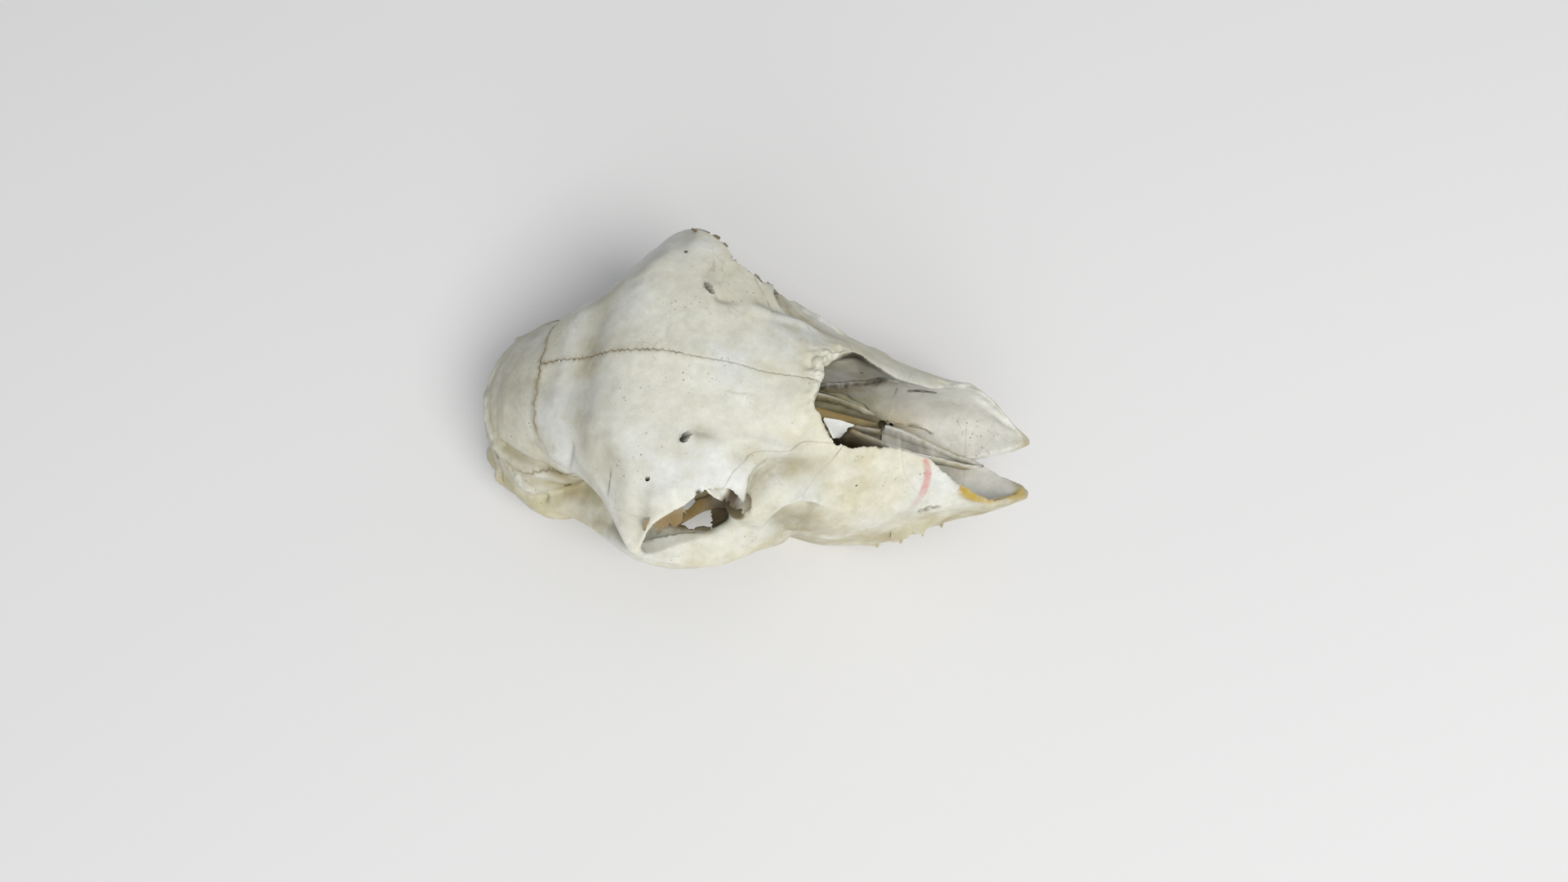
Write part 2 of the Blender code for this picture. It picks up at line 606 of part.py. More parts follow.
def carve(skull, name, shapes, side, collection):
    """Take one bone off the skull, leaving the suture gap beside it."""
    bone = bpy.data.objects.new(name, skull.data.copy())
    collection.objects.link(bone)
    block = region("block", shapes[0], side, 0.0, collection)
    grown = region("grown", shapes[0], side, SUTURE_GAP, collection)
    for extra in shapes[1:]:
        for target, grow in ((block, 0.0), (grown, SUTURE_GAP)):
            more = region("more", extra, side, grow, collection)
            cut(target, more, "UNION")
            bpy.data.objects.remove(more)
    cut(bone, block, "INTERSECT")
    cut(skull, grown)
    bpy.data.objects.remove(block)
    bpy.data.objects.remove(grown)
    keep_largest(bone)
    return bone


def bones(skull, collection):
    """All the bones that the sutures part."""
    found = []
    for side, end in ((1, "_left"), (-1, "_right")):
        for name, shapes in (("incisive", [INCISIVE]), ("zygomatic", [ZYGOMATIC]),
                             ("maxilla", [MAXILLA, MAXILLA_REAR]),
                             ("lacrimal", [LACRIMAL]),
                             ("frontal", [FRONTAL])):
            found.append(carve(skull, name + end, shapes, side, collection))
    found.append(carve(skull, "parietal", [PARIETAL], 1, collection))
    found.append(carve(skull, "occipital", [NAPE, SKULL_BASE_REAR], 1, collection))
    for side, end in ((1, "_left"), (-1, "_right")):
        found.append(carve(skull, "temporal" + end, [TEMPORAL], side, collection))
    skull.name = "sphenoid_and_palatine"
    keep_largest(skull)
    found.append(skull)
    return found


def inner_bones(skull, collection):
    """The vomer and the scrolls of the nose, fitted against its walls."""
    found = [strap("vomer", VOMER_WALL, 1, collection, 12, 2),
             strap("concha_left", CONCHA, 1, collection, 12, 2),
             strap("concha_right", CONCHA, -1, collection, 12, 2)]
    walls = bpy.data.objects.new("walls", skull.data.copy())
    collection.objects.link(walls)
    swell = walls.modifiers.new("gap", "DISPLACE")
    swell.mid_level = 0.0
    swell.strength = SUTURE_GAP * MM
    apply_modifiers(walls)
    for bone in found:
        cut(bone, walls)
        keep_largest(bone)
    bpy.data.objects.remove(walls)
    return found


def bone_material(name, colour, roughness):
    """Plain bone finish."""
    material = bpy.data.materials.new(name)
    material.use_nodes = True
    shader = material.node_tree.nodes["Principled BSDF"]
    shader.inputs["Base Color"].default_value = (*colour, 1.0)
    shader.inputs["Roughness"].default_value = roughness
    shader.inputs["Metallic"].default_value = 0.0
    material.diffuse_color = (*colour, 1.0)
    return material


def finish(obj):
    """Colour and soft shading of one bone."""
    for word, colour in (("incisive", PALE), ("maxilla", PALE), ("frontal", IVORY),
                         ("zygomatic", IVORY), ("lacrimal", IVORY), ("parietal", IVORY),
                         ("occipital", YELLOWED), ("temporal", YELLOWED),
                         ("sphenoid", YELLOWED), ("vomer", HONEY), ("concha", YELLOWED)):
        if obj.name.startswith(word):
            obj.data.materials.clear()
            obj.data.materials.append(bone_material(obj.name + "_bone", colour, 0.6))
    obj.data.shade_smooth()
    obj.data.set_sharp_from_angle(angle=SHARP_ANGLE)


def stand_on_origin(objects):
    """Centre the skull over the origin, with its lowest point on the ground."""
    points = np.array([vert.co for obj in objects for vert in obj.data.vertices])
    low, high = points.min(axis=0), points.max(axis=0)
    middle = (low + high) / 2
    shift = Vector((-middle[0], -middle[1], -low[2]))
    for obj in objects:
        for vert in obj.data.vertices:
            vert.co += shift


def main():
    for obj in list(bpy.data.objects):
        bpy.data.objects.remove(obj)
    collection = bpy.data.collections.new("sheep_skull")
    bpy.context.scene.collection.children.link(collection)
    skull = fused_skull(collection)
    hollow_out(skull, collection)
    thin = skull.modifiers.new("thin_out", "DECIMATE")
    thin.ratio = SKULL_TRIANGLES / sum(len(p.vertices) - 2 for p in skull.data.polygons)
    apply_modifiers(skull)
    inside = inner_bones(skull, collection)
    parts = bones(skull, collection) + inside
    stand_on_origin(parts)
    for obj in parts:
        finish(obj)


if __name__ == "__main__":
    main()
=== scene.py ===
"""Looks of the polled sheep skull.

The skull is modelled again from the same forms as its solids, much finer, and
parted along wandering sutures into one piece for each bone.  Numbers are
millimetres in the skull's own frame, +X to the nose and +Y to its left, and
become metres in the row's frame when a piece is finished.
"""

import math

import bmesh
import bpy
import numpy as np
from mathutils import Euler, Matrix, Vector
from mathutils.bvhtree import BVHTree
from mathutils.kdtree import KDTree


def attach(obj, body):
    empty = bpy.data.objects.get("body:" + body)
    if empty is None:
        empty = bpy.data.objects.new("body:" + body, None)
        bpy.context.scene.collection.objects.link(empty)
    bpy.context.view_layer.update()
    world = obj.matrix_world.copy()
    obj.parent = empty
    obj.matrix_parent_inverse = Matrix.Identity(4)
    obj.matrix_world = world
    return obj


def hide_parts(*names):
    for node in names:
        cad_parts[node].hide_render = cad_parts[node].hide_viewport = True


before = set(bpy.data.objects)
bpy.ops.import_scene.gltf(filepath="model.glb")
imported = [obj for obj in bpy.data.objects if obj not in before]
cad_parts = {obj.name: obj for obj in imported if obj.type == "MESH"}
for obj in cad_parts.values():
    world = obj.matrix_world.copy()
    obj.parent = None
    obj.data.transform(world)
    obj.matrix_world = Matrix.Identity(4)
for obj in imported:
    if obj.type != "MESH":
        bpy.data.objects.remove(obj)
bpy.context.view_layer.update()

MM = 0.001

# The left and the right side: sign of y and ending of a name.
SIDES = ((1, "_left"), (-1, "_right"))

# Where the skull frame's origin lies in the row's frame, in millimetres.
PLACE = Vector((-91.303, 0.044, -2.465))

# Fineness of the mesh, in millimetres.
FIRST_VOXEL = 0.8
FIRST_SMOOTH = 12
SKIN_VOXEL = 0.58
SKIN_SMOOTH = 3
BLOCK_VOXEL = 1.0

# Sutures: width and depth of their groove, how far from it edges are halved, the
# shortest edge that is, and how near a point lies to count as on the surface.
SEAM_WIDTH = 0.3
SEAM_DEPTH = 0.42
SEAM_REACH = 0.9
SEAM_EDGE = 0.3
OFF_CORNER = 0.004
OFF_SURFACE = 0.02
FAR_FROM_SEAM = 99.0

SHARP_ANGLE = math.radians(48.0)
NOISE_CELLS = 32

# How far the nose points up when the skull rests.
NOSE_UP = math.radians(7.0)

# Half sections of the braincase and of the core between the orbits, seen
# from the front: x, top z, then (y, z) of shoulder, side and lower side, and
# bottom z.
BRAINCASE = [
    (-3.6, 48, 6, 47, 11, 38, 9, 32, 30),
    (-0.5, 54, 11, 50, 17.5, 37, 16, 26, 21),
    (4, 60.5, 15, 55, 23, 38, 22, 24, 15),
    (10, 67.5, 17.5, 61, 27.5, 39, 27, 25, 13),
    (17, 74, 19, 66, 30.5, 44, 28, 27, 14),
    (24, 80, 19, 71, 29.3, 50, 26, 31, 15.5),
    (31, 84.5, 22, 72, 30.3, 55, 24, 34, 17),
    (38, 88.5, 27, 73, 29.5, 59, 21, 37, 20),
    (46, 93, 28, 77, 26, 61, 17, 39, 24),
    (56, 97, 26, 82, 21, 63, 14, 43, 30),
    (70, 97, 22, 84, 17, 65, 12, 46, 36),
    (85, 93, 20, 82, 16.5, 64, 12, 46, 38),
    (98, 88, 18, 78, 17, 60, 13, 46, 36),
]

# The roof of frontal bone: x, then (y, z) on the crown line, halfway out and
# at the free edge.
ROOF = [
    (22, 78.5, 12, 76, 21.5, 67),
    (31, 84.5, 15, 83, 28.5, 69.5),
    (37.5, 88.5, 18, 87, 31.5, 70.5),
    (44.5, 93, 22, 91, 37, 75),
    (50.5, 97, 25, 94, 42.5, 78.5),
    (56, 99.5, 29, 95.6, 50, 79),
    (60.5, 100.2, 33, 95.6, 56, 77),
    (64, 100.4, 34, 95.2, 57, 77.5),
    (69, 100.3, 33, 95.2, 51.5, 88),
    (76, 99.2, 26, 96, 46.6, 90.3),
    (83, 97.3, 23, 94.3, 41.6, 88),
    (90, 95.3, 19, 92.4, 36.5, 85),
    (97, 92.8, 15, 91, 29, 84),
    (105, 90.8, 12, 89.6, 23.5, 83),
    (114, 90, 9, 88.6, 18.5, 82),
    (122.5, 86, 8, 85, 16.6, 80.2),
]
ROOF_THICK = (9, 4.2)
ROOF_UNDERCUT = 0.96
ROOF_POINTS = 61

# The face with its cheeks and alveoli: x, top z, then (y, z) of rim, cheek,
# side and alveolar edge, and bottom z.
FACE = [
    (84, 80, 26, 80, 31, 72, 30, 62, 22, 48, 42),
    (90, 90, 33, 84, 37.5, 76, 38.5, 60, 29, 34, 28),
    (96, 91.5, 31, 83.5, 38.5, 72, 40, 55, 27, 26, 19),
    (102, 90.5, 26, 82.5, 36.5, 66, 37.6, 51, 27.4, 18, 16),
    (110, 89.5, 21, 82, 34.5, 61, 36.8, 46, 28.6, 14, 15.5),
    (120, 84, 17, 80, 32.6, 56, 35.6, 44, 29.6, 13, 16.5),
    (130, 76, 15.2, 74.5, 29.4, 54, 32.6, 43, 29.4, 13, 17.5),
    (140, 70, 14.2, 68.6, 26, 53, 29.2, 42, 28.2, 14, 18.5),
    (150, 66, 14.9, 64.3, 23.5, 52, 26.4, 42, 24.8, 15.5, 20),
    (158, 61.5, 16.3, 59.6, 21.8, 51, 23.6, 42, 21.3, 17, 21),
    (165, 57.5, 17.4, 55.8, 20.6, 49, 21.6, 40, 18.6, 19.5, 22),
    (170, 52, 18.2, 50.5, 19.8, 44, 20.3, 37, 17.2, 21.5, 23),
    (175, 45.5, 17.9, 44, 18.8, 40, 18.9, 34, 15.6, 22.6, 24),
    (180, 40, 15.8, 38.6, 16.6, 36, 16.6, 32, 13.8, 24.2, 25.2),
    (186, 35, 12.9, 33.8, 13.4, 32.4, 13.4, 30.4, 11.5, 26.6, 27.2),
    (190.6, 31.6, 10.9, 31, 11.2, 30.4, 11.2, 29.8, 10.2, 28.6, 28.8),
]

# The hollow of the nose: x, top z, then (y, z) high, middle and low on its
# wall, and floor z.
NOSE = [
    (88, 76, 6, 74, 9, 64, 6, 54, 50),
    (96, 82.5, 9, 79, 13, 62, 10, 45, 40),
    (104, 83.5, 11.5, 78, 16.5, 60, 13.5, 38, 33),
    (111, 83, 12.5, 77, 18, 58, 15, 33, 28),
    (116, 82.5, 13.2, 77, 18.5, 56, 15.5, 30, 26.5),
    (121.5, 86, 14.6, 79, 18.5, 54, 15.5, 30, 26),
    (124.5, 110, 14.8, 82, 18.5, 54, 15.5, 30, 25.9),
    (130, 110, 12.8, 79.5, 18, 52, 15.5, 30, 25.8),
    (140, 110, 10.8, 72.5, 17.6, 48, 15.5, 30, 26),
    (150, 110, 10.6, 69, 18.4, 48, 15.5, 30, 26.3),
    (158, 110, 13.8, 65.5, 18.4, 47, 15, 30, 26.6),
    (165, 110, 15.8, 62, 18.2, 45, 14.6, 30, 27),
    (170, 110, 16.8, 56, 17.4, 42, 14.2, 30, 27.2),
    (175, 110, 16.4, 50, 16.4, 38, 13.4, 30.5, 28),
    (180, 110, 14.4, 45, 14.2, 36, 12, 31.5, 29),
    (186, 110, 11.5, 40, 11.4, 35, 10, 33, 31.5),
    (196, 110, 8.5, 40, 8.5, 36, 7.5, 35, 34),
]

# Cheek teeth from the second premolar back: length along the row, outer y at
# the tooth's middle, and width across.
TEETH = [
    (6.5, 21.6, 6.5),
    (7.5, 25.2, 8),
    (8, 28.6, 9.8),
    (11.5, 30.7, 12.6),
    (13.5, 30.5, 13.4),
    (15.5, 28.8, 13),
]
TOOTH_ROW_FRONT = 163.5
TOOTH_INSET = 2.2
TOOTH_GAP = 0.5
TOOTH_POINTS = 72
ROOT_LEVEL = 8
CROWN_LEVEL = (-7.5, -10.6)

# The sides of a tooth: share of its height and of its width; and its worn face:
# share of its width and depth.
TOOTH_SIDES = ((0.0, 0.84), (0.35, 0.93), (0.6, 1.0), (0.82, 1.03), (0.93, 1.02))
TOOTH_FACE = ((1.0, 0.0), (0.9, 0.2), (0.76, 0.55), (0.6, 0.25), (0.42, 0.0), (0.26, 0.7),
              (0.1, 1.1))

# Bands of bone: stations of (edge a), (edge b), thickness.
ZYGOMATIC_PLATE = [
    ((61, 57.2, 76), (64, 52.5, 74.5), 4.6),
    ((62.6, 56.8, 69), (65.5, 50.5, 69), 4.4),
    ((66, 55.4, 58.5), (69, 46.5, 62), 4.2),
    ((71, 54, 50.5), (74.5, 44.5, 58), 4.4),
    ((77, 53, 46.5), (80, 43.3, 56.5), 5),
    ((83.5, 51.6, 44.5), (85.5, 41, 57), 5.6),
    ((91, 47, 41), (90.5, 38.6, 59.5), 7),
    ((98.5, 40, 37), (96, 36, 62), 9),
    ((106, 35, 33), (104, 32, 58), 9),
]
ZYGOMATIC_ARCH = [
    ((80, 51.5, 47.5), (79, 48.5, 40), 4.6),
    ((70, 53, 49), (70, 50.5, 41), 4.6),
    ((60, 51.6, 48.5), (60, 49.6, 40.5), 4.4),
    ((51, 46.8, 46), (51, 44.6, 37.5), 4.8),
    ((44, 42, 43), (44, 39, 35), 6),
    ((37, 37.6, 39), (37, 33, 32), 8),
    ((30, 35.6, 37), (30, 28, 31), 9),
    ((23, 34, 37), (23, 26, 31), 9),
]
JAW_SHELF = [
    ((30, 27, 38), (30, 36, 34.5), 6),
    ((37, 25, 39.5), (37, 37.6, 36.5), 5),
    ((43, 26, 41.5), (43, 41, 39.5), 4),
    ((48, 36, 42.5), (48, 43.5, 41), 3.4),
]
PTERYGOID_PLATE = [
    ((58, 9.5, 40), (62, 12, 19), 2.6),
    ((67, 9.5, 44), (68, 11.5, 17.5), 2.8),
    ((78, 10, 46), (78, 11.5, 17), 3),
    ((89, 12, 44), (89, 13.5, 16), 3.6),
    ((98, 16, 40), (98, 16, 13.5), 5),
]
PARACONDYLAR = [
    ((1, 24, 36), (10, 27, 34), 6),
    ((2, 24, 22), (10, 26, 20), 5),
    ((4.5, 23.5, 10), (10.5, 24.5, 9), 4.2),
    ((7.5, 22.8, 2.2), (10, 23.2, 2), 3.4),
]
MASTOID_RIDGE = [
    ((3, 21, 38), (3, 18.5, 25), 6),
    ((9.5, 27.3, 37.5), (10, 24.5, 24), 7),
    ((17, 32.6, 36.5), (17.5, 30, 24.5), 8),
    ((24, 35, 35), (24.5, 32.5, 25.5), 8),
    ((31, 34.6, 34.5), (31, 32, 27.5), 7),
]
BANDS = (ZYGOMATIC_PLATE, ZYGOMATIC_ARCH, JAW_SHELF, PTERYGOID_PLATE, PARACONDYLAR,
         MASTOID_RIDGE)
STRAP_SQUARE = 0.8
STRAP_POINTS = 28

# Rounded masses on each side: centre and radii, with a turn in degrees about X, Y
# and Z.
CONDYLE = ((0.5, 13.2, 19), (8.6, 6.8, 10.4), (0, 14, 16))
BASE_SWELL = ((14, 9, 17), (15, 8, 4.6), (0, 0, 12))
BULLA = ((21.5, 18.8, 17.5), (9, 5.6, 8.4), (0, 16, -16))
MUSCULAR_TUBERCLE = ((23, 6, 15.2), (5.5, 3.6, 3.4), (0, 0, 0))
MAXILLARY_TUBER = ((101, 22.6, 24), (8, 6.6, 12), (0, 0, 0))
EAR_TUBE = ((22, 31.5, 29), (4.2, 6, 4.2), (24, 0, 0))
MASSES = (CONDYLE, BASE_SWELL, BULLA, MUSCULAR_TUBERCLE, MAXILLARY_TUBER, EAR_TUBE)

# Hollows, given in the same way.
ORBIT = ((76.5, 40, 73), (17.6, 27, 16.6), (-4, 0, -20))
FORAMEN_MAGNUM = ((-4, 0, 27.5), (13, 9, 8.2), (0, -12, 0))
JAW_JOINT = ((38, 35, 27), (6.5, 7, 6), (0, 0, 0))
PALATE_VAULT = ((130, 0, 10.4), (50, 16.5, 8.6), (0, -7.5, 0))
THROAT = ((86, 0, 31.5), (27, 8.6, 10.5), (0, -14, 0))
PALATE_SLIT = ((164.5, 6.4, 21.4), (9.5, 2, 3.6), (0, 0, 4))

# Seen from above: the edge of the frontal bones where the nasal bones came
# away, and the gap between the tips of the incisive bones.
NASAL_NOTCH = [
    (113.8, 2), (112.9, 7.9), (116, 9), (118.6, 12.4), (121.4, 14.3),
    (126, 14.4), (140, 12), (140, -12), (126, -14.9), (123.5, -16),
    (121.2, -16.8), (119.6, -16), (118, -14.4), (116, -12), (113.8, -8.9),
    (112.1, -6.5), (113.5, -2.4),
]
INCISIVE_GAP = [
    (167.5, 1.4), (174, 4), (185, 6.9), (190.8, 9.2), (200, 9.2),
    (200, -8.4), (189.7, -8.4), (182, -4.4), (175.5, -0.6),
]

# Where bones meet, seen from the side as (x, z).  A region is an outline and
# a range of y; paired regions are mirrored for the right side.
INCISIVE_LINE = [(141, 72), (144.5, 62), (157, 46), (167, 31), (170.5, 14)]
CHEEK_LINE = [(104, 57.5), (111, 50), (109, 41), (98.5, 33)]
LACRIMAL_TOP = [(86.5, 84), (91, 86.2), (98, 85.2), (111, 83.2), (124, 78.8)]
CORONAL_LINE = [(23.8, 110), (23.8, 72), (37.6, 65)]
SQUAMOUS_LINE = [(37.6, 65), (34, 60.2), (23, 55.2), (6, 50.2), (2.6, 52.6)]

INCISIVE = (INCISIVE_LINE + [(210, 14), (210, 72)], 0.15, 60)
MAXILLA = ([(124, 78.6), (106, 62)] + CHEEK_LINE[:3] + [(109, -10),
           (171.2, -10), (171.2, 14)] + INCISIVE_LINE[::-1] + [(140, 78.6)],
           0.15, 60)
MAXILLA_REAR = ([(104, 57.5), (98, 60), (92, 60), (84, 50), (84, -10),
                 (111, -10), (111, 50)], 15.5, 60)
ZYGOMATIC = (CHEEK_LINE + [(55, 33), (57.5, 45), (66, 52), (55, 60),
             (55, 72), (62.5, 73.6), (69, 71.5), (84, 66), (92, 63.5),
             (98, 60)], 31, 70)
LACRIMAL = (LACRIMAL_TOP + [(106, 62), (104, 57.5), (98, 60), (92, 63.5),
            (84.5, 65), (84.5, 80)], 14, 60)
FRONTAL = (CORONAL_LINE + [(46, 62), (84, 61), (96, 56), (124, 56),
           (140, 74), (140, 110)], 0.15, 70)
PARIETAL = (CORONAL_LINE + SQUAMOUS_LINE + [(-12, 52.6), (-12, 110)], -70, 70)
NAPE = ([(-20, 52.4), (2.6, 52.4), (3.6, 40), (7, 30), (10.5, 20),
         (12, -5), (-20, -5)], -70, 70)
SKULL_BASE_REAR = ([(5, 21), (28, 21), (28, -5), (5, -5)], -10.5, 10.5)
TEMPORAL = ([(2, 49.8), (6, 50), (23, 55), (34, 60), (38, 56),
             (44, 46), (66, 56), (70, 50), (57, 30), (32, 22),
             (30, 2), (2, 2)], 13, 70)


def palate_point(x, level):
    """Height in the resting skull of a level measured from the palate."""
    return (level + x * math.sin(NOSE_UP)) / math.cos(NOSE_UP)


def slopes(xs, ys):
    """Tangents that keep a curve through the samples free of overshoot."""
    steps = np.diff(ys) / np.diff(xs)
    inner = np.where(steps[:-1] * steps[1:] > 0, 2 * steps[:-1] * steps[1:]
                     / (steps[:-1] + steps[1:] + 1e-12), 0.0)
    return np.concatenate([steps[:1], inner, steps[-1:]])


def curve_at(xs, ys, x):
    """Smooth curve through (xs, ys), read at x."""
    tangents = slopes(xs, ys)
    k = np.clip(np.searchsorted(xs, x) - 1, 0, len(xs) - 2)
    width = xs[k + 1] - xs[k]
    t = (x - xs[k]) / width
    a = (1 + 2 * t) * (1 - t) ** 2
    b = t * (1 - t) ** 2
    c = t * t * (3 - 2 * t)
    d = t * t * (t - 1)
    return (a * ys[k] + b * width * tangents[k]
            + c * ys[k + 1] + d * width * tangents[k + 1])


def curves_at(xs, table, x):
    """Smooth curves through the columns of a table, read at x."""
    return np.stack([curve_at(xs, column, x) for column in table.T], axis=-1)


def between(table, count):
    """Rows of a table, with count steps from each to the next."""
    fine = np.linspace(0, len(table) - 1, (len(table) - 1) * count + 1)
    return fine, curves_at(np.arange(len(table), dtype=float), table, fine)


def refine(rows, step):
    """Rows of a station table, resampled every step along their first value."""
    table = np.array(rows, float)
    count = max(2, int(round((table[-1, 0] - table[0, 0]) / step)))
    stations = np.linspace(table[0, 0], table[-1, 0], count + 1)
    return np.column_stack([stations, curves_at(table[:, 0], table[:, 1:], stations)])


def closed_curve(points, per_span):
    """Closed Catmull-Rom curve through the points."""
    points = np.array(points, float)
    ts = np.linspace(0, 1, per_span, endpoint=False)[:, None]
    spans = []
    for k in range(len(points)):
        p0, p1, p2, p3 = (points[(k + j - 1) % len(points)] for j in range(4))
        spans.append(0.5 * (2 * p1 + (p2 - p0) * ts
                            + (2 * p0 - 5 * p1 + 4 * p2 - p3) * ts ** 2
                            + (3 * p1 - p0 - 3 * p2 + p3) * ts ** 3))
    return np.vstack(spans)


def section_curve(row):
    """Outline of a mirrored section: top z, pairs of y and z, bottom z."""
    half = list(zip(row[1:-1:2], row[2:-1:2]))
    outline = [(0.0, row[0])] + half + [(0.0, row[-1])]
    return closed_curve(outline + [(-y, z) for y, z in reversed(half)], 10)


def circle(count):
    """Cosine and sine at equal steps once around."""
    angles = [2 * math.pi * i / count for i in range(count)]
    return [(math.cos(angle), math.sin(angle)) for angle in angles]


def mirrored(line, side):
    """A line of the left side, or the same on the right."""
    return [(p[0], p[1] * side, p[2]) for p in line]


def add_object(name, data):
    """New object in the scene."""
    obj = bpy.data.objects.new(name, data)
    bpy.context.scene.collection.objects.link(obj)
    return obj


def object_from(bm, name="form"):
    """New object with the mesh of a bmesh, which is freed."""
    mesh = bpy.data.meshes.new(name)
    bm.to_mesh(mesh)
    bm.free()
    return add_object(name, mesh)


def loft(rings):
    """Closed body through rings that all have the same number of points."""
    size = len(rings[0])
    last = (len(rings) - 1) * size
    faces = [(k + i, k + (i + 1) % size, k + size + (i + 1) % size, k + size + i)
             for k in range(0, last, size) for i in range(size)]
    faces += [tuple(range(size)), tuple(last + i for i in reversed(range(size)))]
    mesh = bpy.data.meshes.new("form")
    mesh.from_pydata([tuple(c * MM for c in p) for ring in rings for p in ring], [], faces)
    bm = bmesh.new()
    bm.from_mesh(mesh)
    bpy.data.meshes.remove(mesh)
    bmesh.ops.recalc_face_normals(bm, faces=bm.faces)
    return object_from(bm)


def section_loft(rows):
    """Loft of mirrored sections."""
    return loft([[(row[0], y, z) for y, z in section_curve(row[1:])]
                 for row in refine(rows, 1.0)])


def roof_loft(rows):
    """The plate of frontal bone: thick on the middle line, thin at its edge."""
    rings = []
    across = np.linspace(-1, 1, ROOF_POINTS)
    thick = ROOF_THICK[0] + (ROOF_THICK[1] - ROOF_THICK[0]) * across ** 2
    for x, crown, y_mid, z_mid, y_edge, z_edge in refine(rows, 1.0):
        outer = curve_at(np.array([0.0, y_mid, y_edge]), np.array([crown, z_mid, z_edge]),
                         np.abs(across) * y_edge)
        top = [(x, s * y_edge, z) for s, z in zip(across, outer)]
        under = [(x, s * y_edge * ROOF_UNDERCUT, z - t)
                 for s, z, t in zip(across, outer, thick)]
        rings.append(top + under[::-1])
    return loft(rings)


def strap(stations, side):
    """Band of bone between two edge lines, with a rounded section."""
    rows = between(np.array([[*a, *b, t] for a, b, t in stations], float), 10)[1]
    middles = (rows[:, :3] + rows[:, 3:6]) / 2
    rings = []
    for row, middle, direction in zip(rows, middles, np.gradient(middles, axis=0)):
        wide = (row[:3] - row[3:6]) / 2
        thin = np.cross(direction, wide)
        thin *= row[6] / 2 / np.linalg.norm(thin)
        ring = [middle + wide * math.copysign(abs(c) ** STRAP_SQUARE, c)
                + thin * math.copysign(abs(s) ** STRAP_SQUARE, s) for c, s in circle(STRAP_POINTS)]
        rings.append(mirrored(ring, side))
    return loft(rings)


def ellipsoid(shape, side=1):
    """Round mass or hollow; side is 1 on the left and -1 on the right."""
    centre, radii, turn = shape
    bm = bmesh.new()
    bmesh.ops.create_uvsphere(bm, u_segments=64, v_segments=40, radius=1.0)
    obj = object_from(bm)
    obj.location = (centre[0] * MM, centre[1] * MM * side, centre[2] * MM)
    obj.scale = [radius * MM for radius in radii]
    obj.rotation_euler = [math.radians(a * s) for a, s in zip(turn, (side, 1, side))]
    bpy.context.view_layer.update()
    obj.data.transform(obj.matrix_world)
    obj.matrix_world = Matrix.Identity(4)
    return obj


def slab(outline, z_low, z_high):
    """Block whose outline in the top view is given, from z_low to z_high."""
    return loft([[(x, y, z) for x, y in outline] for z in (z_low, z_high)])


def prism(outline, y_low, y_high):
    """Block whose outline in the side view is given, from y_low to y_high."""
    return loft([[(x, y, z) for x, z in outline] for y in (y_low, y_high)])


def apply_modifiers(obj):
    """Replace an object's mesh by what its modifiers make of it."""
    bpy.context.view_layer.update()
    graph = bpy.context.evaluated_depsgraph_get()
    mesh = bpy.data.meshes.new_from_object(obj.evaluated_get(graph))
    obj.modifiers.clear()
    obj.data = mesh


def remove(obj):
    """Take an object and its mesh out of the file."""
    mesh = obj.data
    bpy.data.objects.remove(obj)
    bpy.data.meshes.remove(mesh)


def copy_of(obj):
    """A second object with the same mesh of its own."""
    return add_object("copy", obj.data.copy())


def cut(obj, cutter, operation="DIFFERENCE"):
    """Boolean with one cutter, applied."""
    modifier = obj.modifiers.new("cut", "BOOLEAN")
    modifier.object = cutter
    modifier.operation = operation
    modifier.solver = "MANIFOLD"
    apply_modifiers(obj)


def join(objects):
    """One object that holds the meshes of several, none of which is kept."""
    bm = bmesh.new()
    for obj in objects:
        bm.from_mesh(obj.data)
        remove(obj)
    return object_from(bm)


def melt(obj, voxel, smooth):
    """Fuse what overlaps and soften it."""
    remesh = obj.modifiers.new("melt", "REMESH")
    remesh.mode = "VOXEL"
    remesh.voxel_size = voxel * MM
    if smooth:
        soften = obj.modifiers.new("soften", "SMOOTH")
        soften.factor = 0.5
        soften.iterations = smooth
    apply_modifiers(obj)


def read(obj, what):
    """One property of an object's vertices, as rows of three numbers."""
    flat = np.empty(len(obj.data.vertices) * 3)
    obj.data.vertices.foreach_get(what, flat)
    return flat.reshape(-1, 3)


def points_of(obj):
    """Vertices of an object in millimetres."""
    return read(obj, "co") / MM


def set_points(obj, points):
    """Move the vertices of an object, given in millimetres."""
    obj.data.vertices.foreach_set("co", (points * MM).ravel())
    obj.data.update()


def surface_of(obj):
    """Search tree over the faces of an object, in millimetres."""
    return BVHTree.FromPolygons([tuple(p) for p in points_of(obj)],
                                [tuple(p.vertices) for p in obj.data.polygons])


def lattice_noise(points, size, seed):
    """Smooth noise from -1 to 1 with cells of the given size."""
    table = np.random.RandomState(seed).uniform(-1, 1, (NOISE_CELLS,) * 3)
    scaled = points / size + 100.0
    base = np.floor(scaled).astype(int)
    t = scaled - base
    t = t * t * (3 - 2 * t)
    total = np.zeros(len(points))
    for corner in range(8):
        bits = np.array([(corner >> k) & 1 for k in range(3)])
        weight = np.prod(np.where(bits, t, 1 - t), axis=1)
        index = (base + bits) % NOISE_CELLS
        total += weight * table[index[:, 0], index[:, 1], index[:, 2]]
    return total


def fractal(points, size, seed, octaves=3):
    """Layers of noise, each finer and weaker than the one before."""
    total = np.zeros(len(points))
    for k in range(octaves):
        total += lattice_noise(points, size / 2 ** k, seed + k) / 2 ** k
    return total


def falloff(distance, width):
    """1 on a line and near nothing at about twice the width."""
    return np.exp(-(distance / width) ** 2)


